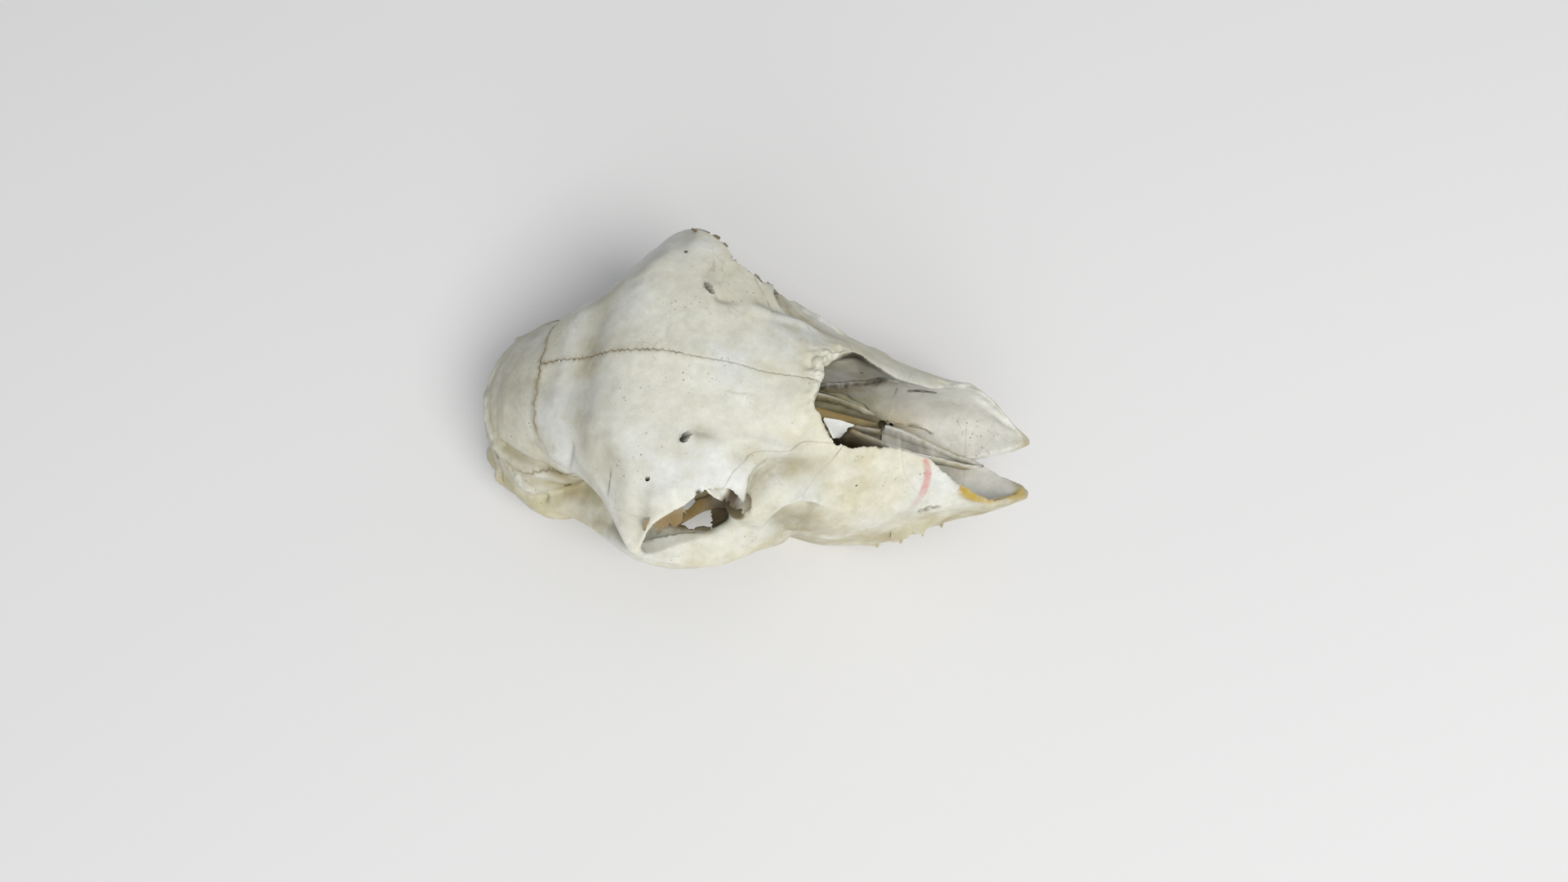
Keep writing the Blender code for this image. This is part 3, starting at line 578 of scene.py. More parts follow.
def step_up(value, low, high):
    """Smooth rise from 0 at low to 1 at high."""
    t = np.clip((value - low) / max(high - low, 1e-6), 0, 1)
    return t * t * (3 - 2 * t)


def line_distance(points, line):
    """Distance of each point to a polyline, and the share of the line passed there."""
    best = np.full(len(points), 1e6)
    passed = np.zeros(len(points))
    for k in range(len(line) - 1):
        a = np.array(line[k], float)
        ab = np.array(line[k + 1], float) - a
        t = np.clip(((points - a) @ ab) / max(ab @ ab, 1e-9), 0, 1)
        distance = np.linalg.norm(points - a - t[:, None] * ab, axis=1)
        nearer = distance < best
        best[nearer] = distance[nearer]
        passed[nearer] = (k + t[nearer]) / (len(line) - 1)
    return best, passed


def near_line(points, line, reach, fades, early=0.0):
    """The points in the box around a line: their numbers, their distance to it
    and how much of the line is left there, where its ends fade."""
    low = np.min(line, axis=0) - reach
    high = np.max(line, axis=0) + reach
    near = np.flatnonzero(((points > low) & (points < high)).all(axis=1))
    distance, passed = line_distance(points[near], line)
    fade = step_up(passed, -early, fades[0]) * step_up(1 - passed, -early, fades[1])
    return near, distance, fade


# The second line in front of the eye, a fine edge with a brown hairline.
SECOND_LINE = [(97.6, 36, 75.4), (99.4, 33.9, 77.1), (102.4, 31.4, 76.7), (106, 29, 76),
               (112.1, 26.6, 73.6)]

# Strokes that a sculptor would add: points on the left side, half width and
# height in millimetres, and how much of it fades at the start and at the end.
STROKES = [
    # The groove in front of the supraorbital foramen and the hollow around it.
    ([(77, 23.8, 96.2), (79.6, 22.6, 95.6), (82.5, 22.4, 94.7), (86.5, 23, 93), (92, 22.4, 90.6)],
     1.5, -1.1, 0.3, 0.8),
    ([(78, 23, 96), (88, 22.8, 92)], 4, -0.5, 0.2, 0.7),
    # The groove in front of the eye, its lip behind and the valley before it.
    ([(93.4, 41, 68), (94.2, 39, 74), (94.6, 36.8, 79.6), (95.2, 32.2, 83.6), (97.4, 28.2, 85.2),
      (101, 26, 84.8)], 1.1, 0.8, 0.15, 0.5),
    ([(94.6, 39.6, 67.8), (95.4, 38, 73.5), (95.9, 35.7, 79.3), (96.7, 31.5, 82.7),
      (98.4, 28.7, 83.2), (101, 26.4, 82.8), (104.5, 24.6, 82), (110, 22.8, 80.4)],
     1.15, -1.7, 0.06, 0.5),
    ([(97, 38, 70), (98, 35.6, 76), (99.6, 31.6, 79.8), (103, 28, 80), (108, 25.6, 79),
      (115, 23.6, 76.6), (122, 21.8, 73)], 3.4, -1.7, 0.25, 0.45),
    ([(107, 29, 75.4), (114, 27, 72), (124, 24.4, 67)], 5, -0.9, 0.3, 0.5),
    # The second line in front of the eye, a fine edge.
    (SECOND_LINE + [(118, 25, 70.5)], 0.45, -0.22, 0.2, 0.4),
    # The crest in front of the cheek, its bright swelling and the hollow below.
    ([(97.6, 41, 58), (101, 37.8, 65), (105.6, 34.6, 68.2), (111, 32, 68.4), (116, 31, 65),
      (119.6, 31.2, 60.6), (121.8, 32.4, 55)], 1.4, 1.9, 0.1, 0.35),
    ([(106, 32, 71), (112.6, 29.2, 69.6), (118.6, 27.4, 66)], 3.6, 1, 0.3, 0.3),
    ([(100.6, 40, 58.6), (104, 37.8, 61.8), (109, 35.2, 63.2), (113.4, 33.8, 62.2),
      (116.8, 33.6, 58.6)], 2.2, -3, 0.12, 0.2),
    ([(103, 40.5, 53), (110, 37.5, 55.6), (116, 36.6, 52)], 4.4, -1.8, 0.2, 0.3),
    # Folds of the cheek below, down to the teeth.
    ([(104, 40, 48), (112, 38.6, 43), (124, 35.6, 38)], 1, -0.6, 0.2, 0.3),
    ([(106, 39.4, 43), (116, 37.4, 38), (130, 33, 32)], 0.9, 0.45, 0.2, 0.4),
    ([(103, 39.6, 40), (112, 38, 35), (122, 35.4, 31)], 0.8, -0.5, 0.2, 0.3),
    ([(128, 31.8, 52), (138, 28.4, 50)], 7, 0.7, 0.3, 0.3),
    ([(142, 28, 46), (150, 26.4, 44)], 4, -0.5, 0.3, 0.3),
    # The step behind the nasal process of the incisive bone.
    ([(157.6, 14.6, 61), (161, 17.8, 58), (163.6, 19.2, 54.8), (167.4, 20, 50), (171.5, 19.4, 44)],
     0.8, 0.55, 0.05, 0.4),
    ([(159.6, 15.4, 60), (163, 18, 57), (166, 19, 53.2), (169.6, 19.6, 49)], 0.9, -0.5, 0.05, 0.3),
    # The brow: its ridge down to the notch, the bulge over the eye, the dip behind.
    ([(86, 23.1, 93), (97.5, 22, 88.2), (105.3, 21.6, 84), (114, 20.4, 80.6)], 2, 1.1, 0.3, 0.3),
    ([(88, 26.6, 91), (97, 25.6, 87), (106, 24.4, 82)], 2, -0.5, 0.3, 0.3),
    ([(62, 46, 92), (72, 43, 93.5), (80, 38, 92)], 3.6, 0.7, 0.4, 0.4),
    ([(72, 33, 96), (84, 28, 94)], 5, -0.5, 0.4, 0.4),
    ([(88, 30, 90), (96, 24, 88), (106, 18, 88)], 3, -0.5, 0.3, 0.3),
    ([(84, 10, 96.6), (98, 7, 92), (110, 5, 90)], 5, 0.35, 0.3, 0.2),
    # The saddle between the crown and the forehead, and the swellings beside it.
    ([(41, 0, 91), (41.8, 9.5, 90.8), (42.2, 17.5, 90), (41.4, 24.6, 86.4), (39.6, 28.6, 78.6)],
     5.2, -0.95, 0, 0.3),
    ([(33, 0, 86.4), (32.6, 10, 84.8), (30.6, 18, 79)], 4, 0.65, 0, 0.4),
    ([(55, 8, 98.6), (56, 20, 97.4), (57, 30, 95.4)], 6, 0.55, 0.3, 0.4),
    ([(49, 27, 92), (56, 36, 91), (62, 42, 91)], 3.6, -0.5, 0.3, 0.4),
    ([(45, 26, 89.4), (50.4, 25, 93.6), (58, 25.6, 96.4)], 2.2, -0.45, 0.3, 0.4),
    # The temple line, its edge towards the eye and the hollow behind the outer rim.
    ([(57, 47, 82), (50, 39, 82), (43, 31.5, 79), (37.5, 28.4, 77)], 1.8, 0.7, 0.2, 0.3),
    ([(38.6, 25, 82), (37.6, 27.6, 79), (36.4, 29.8, 74), (36, 30.6, 68)], 1.3, -0.8, 0.3, 0.3),
    # The crest over the ear: a swelling, the deep groove behind and above it.
    ([(3.6, 18.6, 52), (8, 23, 52), (14, 26.4, 52.6), (20.4, 28.6, 52.4), (27, 30.2, 52.6)],
     1.5, 1.4, 0.1, 0.3),
    ([(5.5, 20.1, 54.4), (10.7, 22.6, 56.6), (16, 25.2, 57.8), (22, 27.4, 58), (28, 29.4, 58.6),
      (34.6, 29.8, 59.4)], 1.5, -1.7, 0.1, 0.2),
    ([(9, 26.6, 46), (16, 31, 42), (24, 34, 40)], 2.4, 0.8, 0.3, 0.4),
    ([(22, 31, 47), (30, 31.6, 46), (38, 31, 45)], 3, -0.8, 0.3, 0.4),
    ([(26, 34.4, 39), (36, 34.8, 40), (46, 40, 42)], 2.2, 0.6, 0.3, 0.4),
    # Faint upright folds on the crown.
    ([(4.9, 0.9, 61.5), (6, 9.6, 61), (7.6, 19.1, 55.2)], 1.4, -0.3, 0.3, 0.2),
    ([(10, 2, 67.4), (11, 11, 66), (13, 18.6, 61.6)], 2.4, 0.25, 0.3, 0.3),
    # The facial tuber and the swelling over the roots of the cheek teeth.
    ([(112, 36.6, 36), (104, 38.5, 38), (97, 40.5, 41)], 3.4, 0.9, 0.4, 0.3),
    ([(140, 26.5, 40), (128, 31, 37), (116, 35, 32)], 3.6, 0.5, 0.4, 0.4),
    ([(152, 24, 24), (138, 28.5, 22.6), (120, 32.8, 21), (106, 34.6, 20)], 2.4, 0.5, 0.3, 0.3),
    # The nasal process of the incisive bone.
    ([(168, 19.6, 45), (176, 17.4, 38), (186, 12, 32)], 2.2, 0.4, 0.4, 0.4),
    # Inside the nose: the groove under the turned-in rim, and the seam below it.
    ([(141.6, 15.4, 63), (145.7, 15.2, 61.6), (151.8, 15.4, 60.6), (156.2, 16.2, 60.4),
      (161.8, 17, 58), (167.6, 17, 55)], 0.9, -0.4, 0.2, 0.5),
    ([(148, 17.4, 52), (160, 17.6, 46)], 4, 0.4, 0.3, 0.3),
    # The nape: crests and hollows beside the middle line.
    ([(-2.6, 0, 52), (-3.4, 0, 44), (-3.6, 0, 37)], 2.4, 0.9, 0.3, 0.5),
    ([(-1.5, 6, 50), (-2.6, 8.5, 43)], 3, -0.7, 0.4, 0.4),
    ([(-1, 0, 53.4), (0.4, 9, 52.8), (3.6, 16, 52), (6.6, 21.5, 50), (10, 26.5, 44)],
     1.8, 1, 0.1, 0.4),
    ([(5, 15, 30), (5, 21.5, 30)], 2.4, -1.3, 0.3, 0.3),
    # The basilar part and the groove between its swellings.
    ([(6, 0, 12.6), (18, 0, 12.6), (30, 0, 15.6)], 2.2, -0.8, 0.3, 0.4),
    ([(30, 8, 17.5), (44, 7, 23)], 2.4, -0.8, 0.4, 0.4),
]

# The edge of the crest over the ear.
EAR_CREST = [(7, 23.6, 49), (10, 26.4, 46.6), (14.3, 29, 45.6), (17.5, 31.8, 39)]

# Lines beside which the bone is crumbly: points, reach and height.
CRUMBS = [
    ([(112.4, 5, 89), (113.4, 8.6, 88), (116.6, 10.4, 87), (120.4, 14, 84.6)], 3.4, 1.7),
    ([(112.1, -6.5, 89.6), (113.6, -2.4, 89.8), (113.8, 2, 89.6)], 2.4, 0.8),
    *[(mirrored(EAR_CREST, side), 3, 0.8) for side, _ in SIDES],
    ([(81.6, -40.6, 90), (84.6, -38.8, 88.4)], 1.6, 0.3),
]

# Small openings through the surface: place, direction inwards, radius, depth.
PITS = [
    ((75.9, 26, 96), (-0.72, 0.1, -0.7), 0.95, 6),
    ((76.4, 24.9, 96.2), (-0.72, 0.1, -0.7), 1.05, 7),
    ((77.3, 23.9, 96.2), (-0.72, 0.1, -0.7), 0.9, 5),
    ((153, 25.6, 46.4), (-0.7, -0.7, 0.05), 1.3, 5),
    ((155.4, 24.9, 47), (-0.7, -0.7, 0.05), 1.45, 7),
    ((157.8, 24, 47.2), (-0.7, -0.7, 0.05), 1.2, 5),
    ((66.6, 38.6, 93.4), (-0.2, 0.1, -1), 0.75, 3),
    ((137.4, 12, 28), (0.05, 0.3, -1), 2.1, 4.6),
    ((139.6, 11.4, 28), (0.05, 0.3, -1), 1.6, 4.6),
    ((89.4, 38, 76), (0.6, -0.5, -0.5), 1.3, 5),
    ((24, 37.4, 29.6), (0, -1, 0.1), 1.9, 5),
    ((24.5, 13.4, 13.6), (-0.1, 0.3, 1), 1.7, 4),
    ((5.5, 20, 24.5), (0.4, -0.2, 0.9), 1.2, 4),
    ((37.5, 12.6, 21), (0.1, 0.15, 1), 2.3, 5),
    ((33, 28.6, 28), (0, -0.1, 1), 0.8, 3),
    ((120, 9.6, 16.5), (-0.5, 0.1, 1), 1, 4),
    ((30.5, 31, 44), (0.1, -1, 0.1), 0.9, 3),
    ((12.5, 28, 44.6), (0.2, -1, 0), 0.7, 3),
    ((3, 22.8, 44.5), (0.8, -0.6, 0), 0.6, 3),
    ((63, 12.6, 55), (0.9, -0.5, 0), 2.6, 6),
    ((57, 13.5, 44), (0.9, -0.5, 0), 2.4, 5),
    ((129, 24.6, 64), (-0.2, -0.7, -0.6), 0.4, 2),
    ((81.4, 40.6, 91), (0.1, -0.35, -1), 0.7, 4),
]

# A drill starts this far outside, and has these shares of its depth and radius.
DRILL_LEAD = 1.5
DRILL_POINTS = 20
DRILL_SHAPE = ((0.0, 1.25), (0.25, 1.0), (0.8, 0.9), (1.0, 0.4))

# Unevenness of the skull's skin, of the nape and of the crumbly edges: height,
# size and seed of the noise.
SKIN_NOISE = ((0.16, 14.0, 11), (0.07, 3.2, 21))
NAPE_NOISE = (0.22, 2.2, 31)
CRUMB_NOISE = (2.3, 41)


def fused_skull():
    """The same forms as in the solids, melted into one fine body."""
    forms = [section_loft(BRAINCASE), roof_loft(ROOF), section_loft(FACE)]
    for side, _ in SIDES:
        forms += [strap(band, side) for band in BANDS]
        forms += [ellipsoid(mass, side) for mass in MASSES]
    skull = join(forms)
    melt(skull, FIRST_VOXEL, FIRST_SMOOTH)
    return skull


def jagged(outline, step, height, seed):
    """Top-view outline with small random teeth along it."""
    random = np.random.RandomState(seed)
    points = []
    for start, end in zip(outline, outline[1:] + outline[:1]):
        count = max(1, int(math.dist(start, end) / step))
        points += [tuple(a + (b - a) * (i / count) + random.uniform(-1, 1) * height
                         for a, b in zip(start, end)) for i in range(count)]
    return points


def hollow_out(skull):
    """Cut the nose, the throat, the orbits and the lesser hollows."""
    cutters = [section_loft(NOSE),
               slab(jagged(NASAL_NOTCH, 1.0, 0.35, 4), 70.0, 110.0),
               slab(jagged(INCISIVE_GAP, 1.2, 0.2, 5), 10.0, 60.0)]
    cutters += [ellipsoid(hollow) for hollow in (FORAMEN_MAGNUM, PALATE_VAULT, THROAT)]
    cutters += [ellipsoid(hollow, side) for side, _ in SIDES
                for hollow in (ORBIT, JAW_JOINT, PALATE_SLIT)]
    for cutter in cutters:
        cut(skull, cutter)
        remove(cutter)
    melt(skull, SKIN_VOXEL, SKIN_SMOOTH)


def drill(skull):
    """Open the foramina."""
    pins = []
    for place, way, radius, depth in PITS:
        for side, _ in SIDES:
            start, way_in = (Vector(v) for v in mirrored((place, way), side))
            way_in.normalize()
            start = start - way_in * DRILL_LEAD
            turn = way_in.to_track_quat("Z", "Y").to_matrix()
            pins.append(loft([[start + turn @ Vector((c * radius * grow, s * radius * grow,
                                                      share * (depth + DRILL_LEAD)))
                               for c, s in circle(DRILL_POINTS)]
                              for share, grow in DRILL_SHAPE]))
    for k in (0, 2, 4):
        drills = join(pins[k::6] + pins[k + 1::6])
        cut(skull, drills)
        remove(drills)


def sculpt(skull):
    """Ridges, grooves and the unevenness of real bone."""
    points = points_of(skull)
    shift = np.zeros(len(points))
    surface = surface_of(skull)
    for line, width, height, *fades in STROKES:
        for side, _ in SIDES:
            if side == -1 and all(p[1] == 0 for p in line):
                continue
            path = [Vector(p) for p in mirrored(line, side)]
            path = [a.lerp(b, t) for a, b in zip(path, path[1:])
                    for t in (0.0, 0.34, 0.67)] + path[-1:]
            snapped = [tuple(surface.find_nearest(p)[0]) for p in path]
            near, distance, fade = near_line(points, snapped, 3 * width, fades)
            shift[near] += height * falloff(distance, width) * fade
    shift += sum(height * fractal(points, *noise) for height, *noise in SKIN_NOISE)
    height, *noise = NAPE_NOISE
    shift += step_up(10 - points[:, 0], 0, 8) * height * fractal(points, *noise)
    lumps = fractal(points, *CRUMB_NOISE)
    for line, reach, height in CRUMBS:
        shift += height * lumps * falloff(line_distance(points, line)[0], reach)
    set_points(skull, points + read(skull, "normal") * shift[:, None])


def wander(points):
    """The sideways swing of a suture at each point, as vectors in millimetres."""
    x, y, z = points.T
    along = 0.30 * np.sin(2.6 * y + 1.4 * np.sin(0.61 * z + 0.37 * x))
    along += 0.30 * np.sin(0.83 * y + 0.6 * z) + 0.2 * np.sin(4.9 * y + 1.1 * z)
    aside = 0.26 * np.sin(3.1 * x + 1.6 * np.sin(0.83 * x)) + 0.13 * np.sin(6.7 * x)
    aside = aside * (1 - 0.55 * step_up(x, 58, 84)) + 0.25 * np.sin(0.31 * x)
    up = 0.26 * np.sin(2.2 * x + 0.9 * y) + 0.28 * np.sin(0.71 * x - 0.53 * y)
    up += 0.16 * np.sin(4.7 * x + 0.7 * y)
    straight = 1 - 0.9 * step_up(x, 74, 84) * step_up(np.abs(y), 3, 6)
    return np.column_stack([along, aside, up]) * straight[:, None]


def bone_block(shapes, side, grow):
    """Block that holds one bone, with walls that wander like a suture."""
    block = join([prism(outline, *sorted((y_low * side, y_high * side)))
                  for outline, y_low, y_high in shapes])
    melt(block, BLOCK_VOXEL, 0)
    points = points_of(block)
    set_points(block, points + read(block, "normal") * grow + wander(points))
    return block


def left_half():
    """Everything left of the middle line, whose wall follows the middle suture."""
    heights = np.arange(-20.0, 120.0, 1.0)
    rings = []
    for x in np.arange(-30.0, 215.0, 0.4):
        wall = np.column_stack([np.full(len(heights), x), np.zeros(len(heights)), heights])
        wall[:, 1] = 0.1 + wander(wall)[:, 1]
        rings.append([*wall, (x, 90.0, 119.0), (x, 90.0, -20.0)])
    return loft(rings)


def part(inside, outside, block):
    """Leave of one object what lies in a block, and of the other the rest."""
    cut(inside, block, "INTERSECT")
    cut(outside, block)
    remove(block)


def both_sides(shape):
    """A bone's region widened to take in both sides of the head."""
    outline, _, y_high = shape
    return (outline, -y_high, y_high)


def bones(skull):
    """All the bones that the sutures part, by the names of their nodes."""
    found = {}

    def take(name, shapes, grow=0.5, side=1):
        found[name] = copy_of(skull)
        part(found[name], skull, bone_block(shapes, side, grow))

    def take_sides(name, shape, grow=0.5):
        for side, end in SIDES:
            take(name + end, [shape], grow, side)

    def take_halves(name, shapes, grow=0.5):
        take(name + "_left", shapes, grow)
        left = found[name + "_left"]
        right = found[name + "_right"] = copy_of(left)
        part(left, right, left_half())

    outline, y_low, y_high = MAXILLA_REAR
    take_halves("incisive", [both_sides(INCISIVE)], 0.0)
    take_sides("zygomatic", ZYGOMATIC, 0.0)
    take_halves("maxilla", [both_sides(MAXILLA), MAXILLA_REAR, (outline, -y_high, -y_low)])
    take_sides("lacrimal", LACRIMAL)
    take_halves("frontal", [both_sides(FRONTAL)])
    take("parietal", [PARIETAL])
    take("occipital", [NAPE, SKULL_BASE_REAR])
    take_sides("temporal", TEMPORAL)
    found["sphenoid_and_palatine"] = skull
    return found


# The two leaves of the vomer: x, height of the left and of the right leaf, and
# the distance of their outer faces from the middle.
VOMER_LEAVES = [
    (104, 50, 50, 1.5),
    (114, 49.5, 50, 2),
    (122, 49.2, 49, 2.4),
    (125.6, 49, 54.6, 2.6),
    (130.8, 47.5, 51.2, 2.9),
    (135.8, 46.2, 48.4, 3.1),
    (137.2, 50.2, 47.6, 3.3),
    (141.8, 48.2, 44.6, 3.4),
    (147.9, 43.6, 40.6, 3.3),
    (154.3, 38.4, 37.6, 3.1),
    (160.7, 33.6, 34.6, 2.8),
    (167.5, 29.4, 30.2, 2.2),
    (172, 27.6, 28.2, 1.5),
    (175, 26.4, 26.8, 0.7),
]
VOMER_FOOT = 24
LEAF_THICK = 1.5

# The panel of scroll bone on the side wall: x, height of its upper edge and of
# its lower edge, seen from the side.
PANEL = [
    (104, 38.5, 36.5),
    (110, 42, 39.5),
    (115, 45, 41.5),
    (120.7, 47.2, 40.5),
    (125, 49.6, 37.5),
    (129, 51.6, 34),
    (132.2, 55.2, 31),
    (134.6, 60.6, 29.6),
    (136.9, 63.6, 28.6),
    (139.6, 64.9, 28),
]

# Remains of thin bone in the nose and under the cheek: a band like those above,
# and sheets with the line that is held and the free edge.  The plate is on the
# right edge of the notch, the others are on the left and mirrored.
GOLDEN_BAR = [
    ((89, 7, 54), (89, 3.8, 52), 1.8),
    ((104, 7.8, 52), (104, 4.6, 50.6), 1.8),
    ((115, 7.9, 47.2), (115.2, 4.9, 45.8), 1.7),
    ((120.3, 8, 44.6), (120.5, 4.8, 43.2), 1.7),
    ((126.3, 8.2, 41.6), (126.5, 4.8, 40.4), 1.6),
    ((134.4, 8, 38.4), (133.4, 5.4, 37.4), 1),
]
WALL_RIDGE = ([(106, 16, 44), (113, 15.6, 42.4), (119.7, 15.8, 39), (127.3, 15.8, 34),
               (134, 15, 29.4)],
              [(106, 12.6, 42), (113, 13.2, 40.6), (119.7, 13.8, 37.4), (127.3, 14.2, 32.4),
               (134, 14, 28)])
FLOOR_CRUMBS = ([(139, 13.6, 27), (145, 12.8, 27), (151, 12, 27.2), (156, 10.6, 27.4)],
                [(139, 12.2, 30.4), (145, 11.4, 30.2), (151, 11.4, 30.6), (156, 9.4, 29)])
NOTCH_PLATE = ([(116.4, -11.6, 87.6), (118, -13.4, 86), (120, -15.6, 82.6)],
               [(125.8, -9.2, 78.6), (124, -10.4, 76.4), (121.8, -12.2, 74)])
FLANGE = ([(143, 27.6, 35.6), (147.7, 26.6, 37.4), (153.1, 24.8, 39.4), (158.5, 22.8, 40.8),
           (162.6, 21.2, 43.6)],
          [(143.4, 30.6, 28.4), (147.6, 29.9, 28.2), (152.2, 28.6, 29), (157.6, 26.4, 31.4),
           (162.4, 23.6, 40.4)])


def nose_wall(x, heights):
    """How far out the wall of the nose's hollow lies at a station."""
    table = np.array(NOSE, float)
    curve = section_curve(curves_at(table[:, 0], table[:, 1:], x))
    half = curve[curve[:, 0] >= 0]
    half = half[np.argsort(half[:, 1])]
    return np.interp(heights, half[:, 1], half[:, 0])


def scroll_panel(side):
    """Panel that lies on the side wall, proud of it along a free upper edge."""
    rings = []
    for x, top, low in refine(PANEL, 0.4):
        ragged = fractal(np.array([[x, 5.0 * side, 0.0], [x, 40.0 * side, 0.0]]), 3.0, 151)
        top += 0.35 * ragged[0]
        low += 0.9 * ragged[1]
        heights = np.linspace(low, top, 18)
        share = (heights - low) / (top - low)
        wall = nose_wall(x, heights)
        proud = 0.45 + 1.5 * step_up(139.6 - x, 0, 7) * (0.35 + 0.65 * share)
        face = wall - proud - 0.5 * np.sin(share * math.pi) * step_up(137 - x, 0, 12)
        face[[0, -1]] += 0.3 * proud[[0, -1]]
        rings.append([(x, y * side, z) for y, z in zip(face, heights)]
                     + [(x, (y + 0.9) * side, z) for y, z in zip(wall[::-1], heights[::-1])])
    return loft(rings)


def tooth(x, outer, length, width, top, low, molar, side):
    """One cheek tooth with ribbed sides and a ridged, worn face."""
    angles = np.linspace(0, 2 * math.pi, TOOTH_POINTS, endpoint=False)
    c, s = np.cos(angles), np.sin(angles)
    px = np.sign(c) * np.abs(c) ** 0.5 * length / 2
    py = np.sign(s) * np.abs(s) ** 0.55 * width / 2
    share = px / (length / 2)
    cheek_side, tongue_side = step_up(s, 0.0, 0.4), step_up(-s, 0.0, 0.4)
    ribs = sum(cheek_side * height * falloff(share - place, 0.15) for place, height in
               ((-0.92, 0.3), (-0.05, 0.6 if molar else 0.2), (0.86, 1.5)))
    if molar:
        ribs -= tongue_side * 1.1 * falloff(share, 0.14)
    middle = outer - width / 2
    rings = []
    for level, grow in TOOTH_SIDES:
        z = top + (low - top) * level
        taper = ribs * (0.4 + 0.6 * level)
        rings.append([(x + a * grow, (middle + b * grow + r * np.sign(b)) * side, z)
                      for a, b, r in zip(px, py, taper)])
    cusp = np.abs(np.sin((share * 0.5 + 0.5) * (2 if molar else 1) * math.pi))
    for inner, sink in TOOTH_FACE:
        drop = (1.5 * cusp * cheek_side + 0.7 * cusp * tongue_side) * inner
        rings.append([(x + a * inner, (middle + (b + r * np.sign(b)) * inner) * side,
                       low - d + sink + 0.5) for a, b, r, d in zip(px, py, ribs, drop)])
    return loft(rings)


def tooth_row(side):
    """The six cheek teeth of one side, from front to back."""
    teeth = []
    x = TOOTH_ROW_FRONT
    for k, (length, outer, width) in enumerate(TEETH):
        x -= length / 2
        crown = CROWN_LEVEL[0] + (CROWN_LEVEL[1] - CROWN_LEVEL[0]) * k / 5
        teeth.append(tooth(x, outer - TOOTH_INSET, length - TOOTH_GAP, width - TOOTH_INSET,
                           palate_point(x, ROOT_LEVEL), palate_point(x, crown), k >= 3, side))
        x -= length / 2
    return join(teeth)


def vomer():
    """A trough of two thin leaves with crumbled upper edges."""
    rings = []
    rows = refine(VOMER_LEAVES, 0.6)
    xs = rows[:, 0]
    chips = [0.55 * np.minimum(fractal(np.column_stack([xs, xs * 0 + y, xs * 0]), 2.4, 51), 0.4)
             for y in (0.0, 30.0)]
    for (x, left, right, reach), chip_l, chip_r in zip(rows, *chips):
        left += chip_l
        right += chip_r
        groove = max(min(left, right) - 2.4, VOMER_FOOT + 1.0)

        def leaf(top):
            inner = reach - LEAF_THICK
            return [(1.0, VOMER_FOOT), (1.3, (VOMER_FOOT + top) / 2), (reach, top - 3.0),
                    (reach, top - 0.5), (reach - 0.4, top), (inner + 0.3, top),
                    (inner, top - 0.6), (inner * 0.8, groove)]

        rings.append([(x, y, z) for y, z in leaf(left)]
                     + [(x, -y, z) for y, z in reversed(leaf(right))])
    return loft(rings)


def ledge(lines, thick, seed, teeth, side, way=(0.0, 0.0, 1.0)):
    """Thin broken sheet between a line that is held and a ragged free edge."""
    (fine, held), (_, free) = (between(np.array(mirrored(line, side), float), 16)
                               for line in lines)
    spread = np.column_stack([fine, fine * 0 + 7.0 * side, fine * 0])
    chips = np.clip(fractal(spread, 0.55, seed), -1, 0.35)
    up = np.array(mirrored([way], side)[0]) * thick / 2
    rings = []
    for p, q, chip in zip(held, free, chips):
        reach = 1.0 + teeth * chip
        tip = p + (q - p) * reach
        middle = p + (q - p) * reach * 0.5 + up * 0.8
        rings.append([p + up, middle + up, tip + up * 0.4, tip - up * 0.4, middle - up, p - up])
    return loft(rings)


# What is left of the thin bone around the orbit: the ragged inner edge of the
# cheek bone, the strip across the opening, the front wall, the far rim and the
# shelf under the brow.
CHEEK_RIM = ([(60, 50.6, 58.6), (64, 48.4, 57.4), (68, 46.4, 56.4), (73, 44.8, 55.6),
              (78, 43.2, 55), (83, 41.6, 55)],
             [(60, 48.4, 57), (64, 45, 55.4), (67.6, 42.4, 53.8), (72, 41.6, 53.6),
              (77, 41.6, 54), (83, 40.2, 54.4)])
ORBIT_STRIP = ([(56, 50, 49), (60, 47.4, 50), (65.5, 44.2, 50.4), (70, 41.8, 50.6),
                (75, 38, 51), (81, 34.4, 52), (90, 33, 54)],
               [(56, 47.6, 49.4), (60, 44.8, 50.4), (64.5, 41, 50.8), (69, 38.4, 51),
                (74, 34.2, 51.4), (80, 29.6, 52.4), (88, 27, 54)])
FRONT_WALL = ([(93, 40, 56), (93, 35, 54), (91, 31, 53), (89, 27, 53),
               (88, 22, 54)],
              [(83.6, 41, 54.4), (81.4, 38.4, 52), (81, 34.6, 50), (77.4, 31.6, 50),
               (72, 24, 52)])
FAR_RIM = ([(66, 50.5, 87.2), (70, 47.8, 88.6), (74, 45.6, 88.8), (77, 43.6, 88.6)],
           [(66.4, 52.6, 84.6), (71, 50.8, 85.6), (75.4, 48.8, 85.8), (78.4, 45.6, 86.4)])
BROW_SHELF = ([(83, 37.6, 86.6), (87.6, 35, 83.2), (92, 34, 79.6), (96.2, 35.6, 75.4),
               (98, 36.6, 70.5)],
              [(84.6, 39.2, 85.8), (87.6, 39, 82.4), (90.3, 39.2, 79.4), (93, 39.6, 75.6),
               (94.8, 39.6, 71)])

# The same with thickness, seed and raggedness.
SHELVES = ((BROW_SHELF, 1.2, 83, 0.4), (FAR_RIM, 0.7, 75, 1.0), (CHEEK_RIM, 0.8, 61, 0.75),
           (ORBIT_STRIP, 0.9, 65, 0.16), (FRONT_WALL, 0.9, 71, 0.2))


def orbit_shelf(side):
    """The thin bones that are left in the floor of the orbit and along its brow."""
    return join([ledge(lines, thick, seed + side, teeth, side)
                 for lines, thick, seed, teeth in SHELVES])


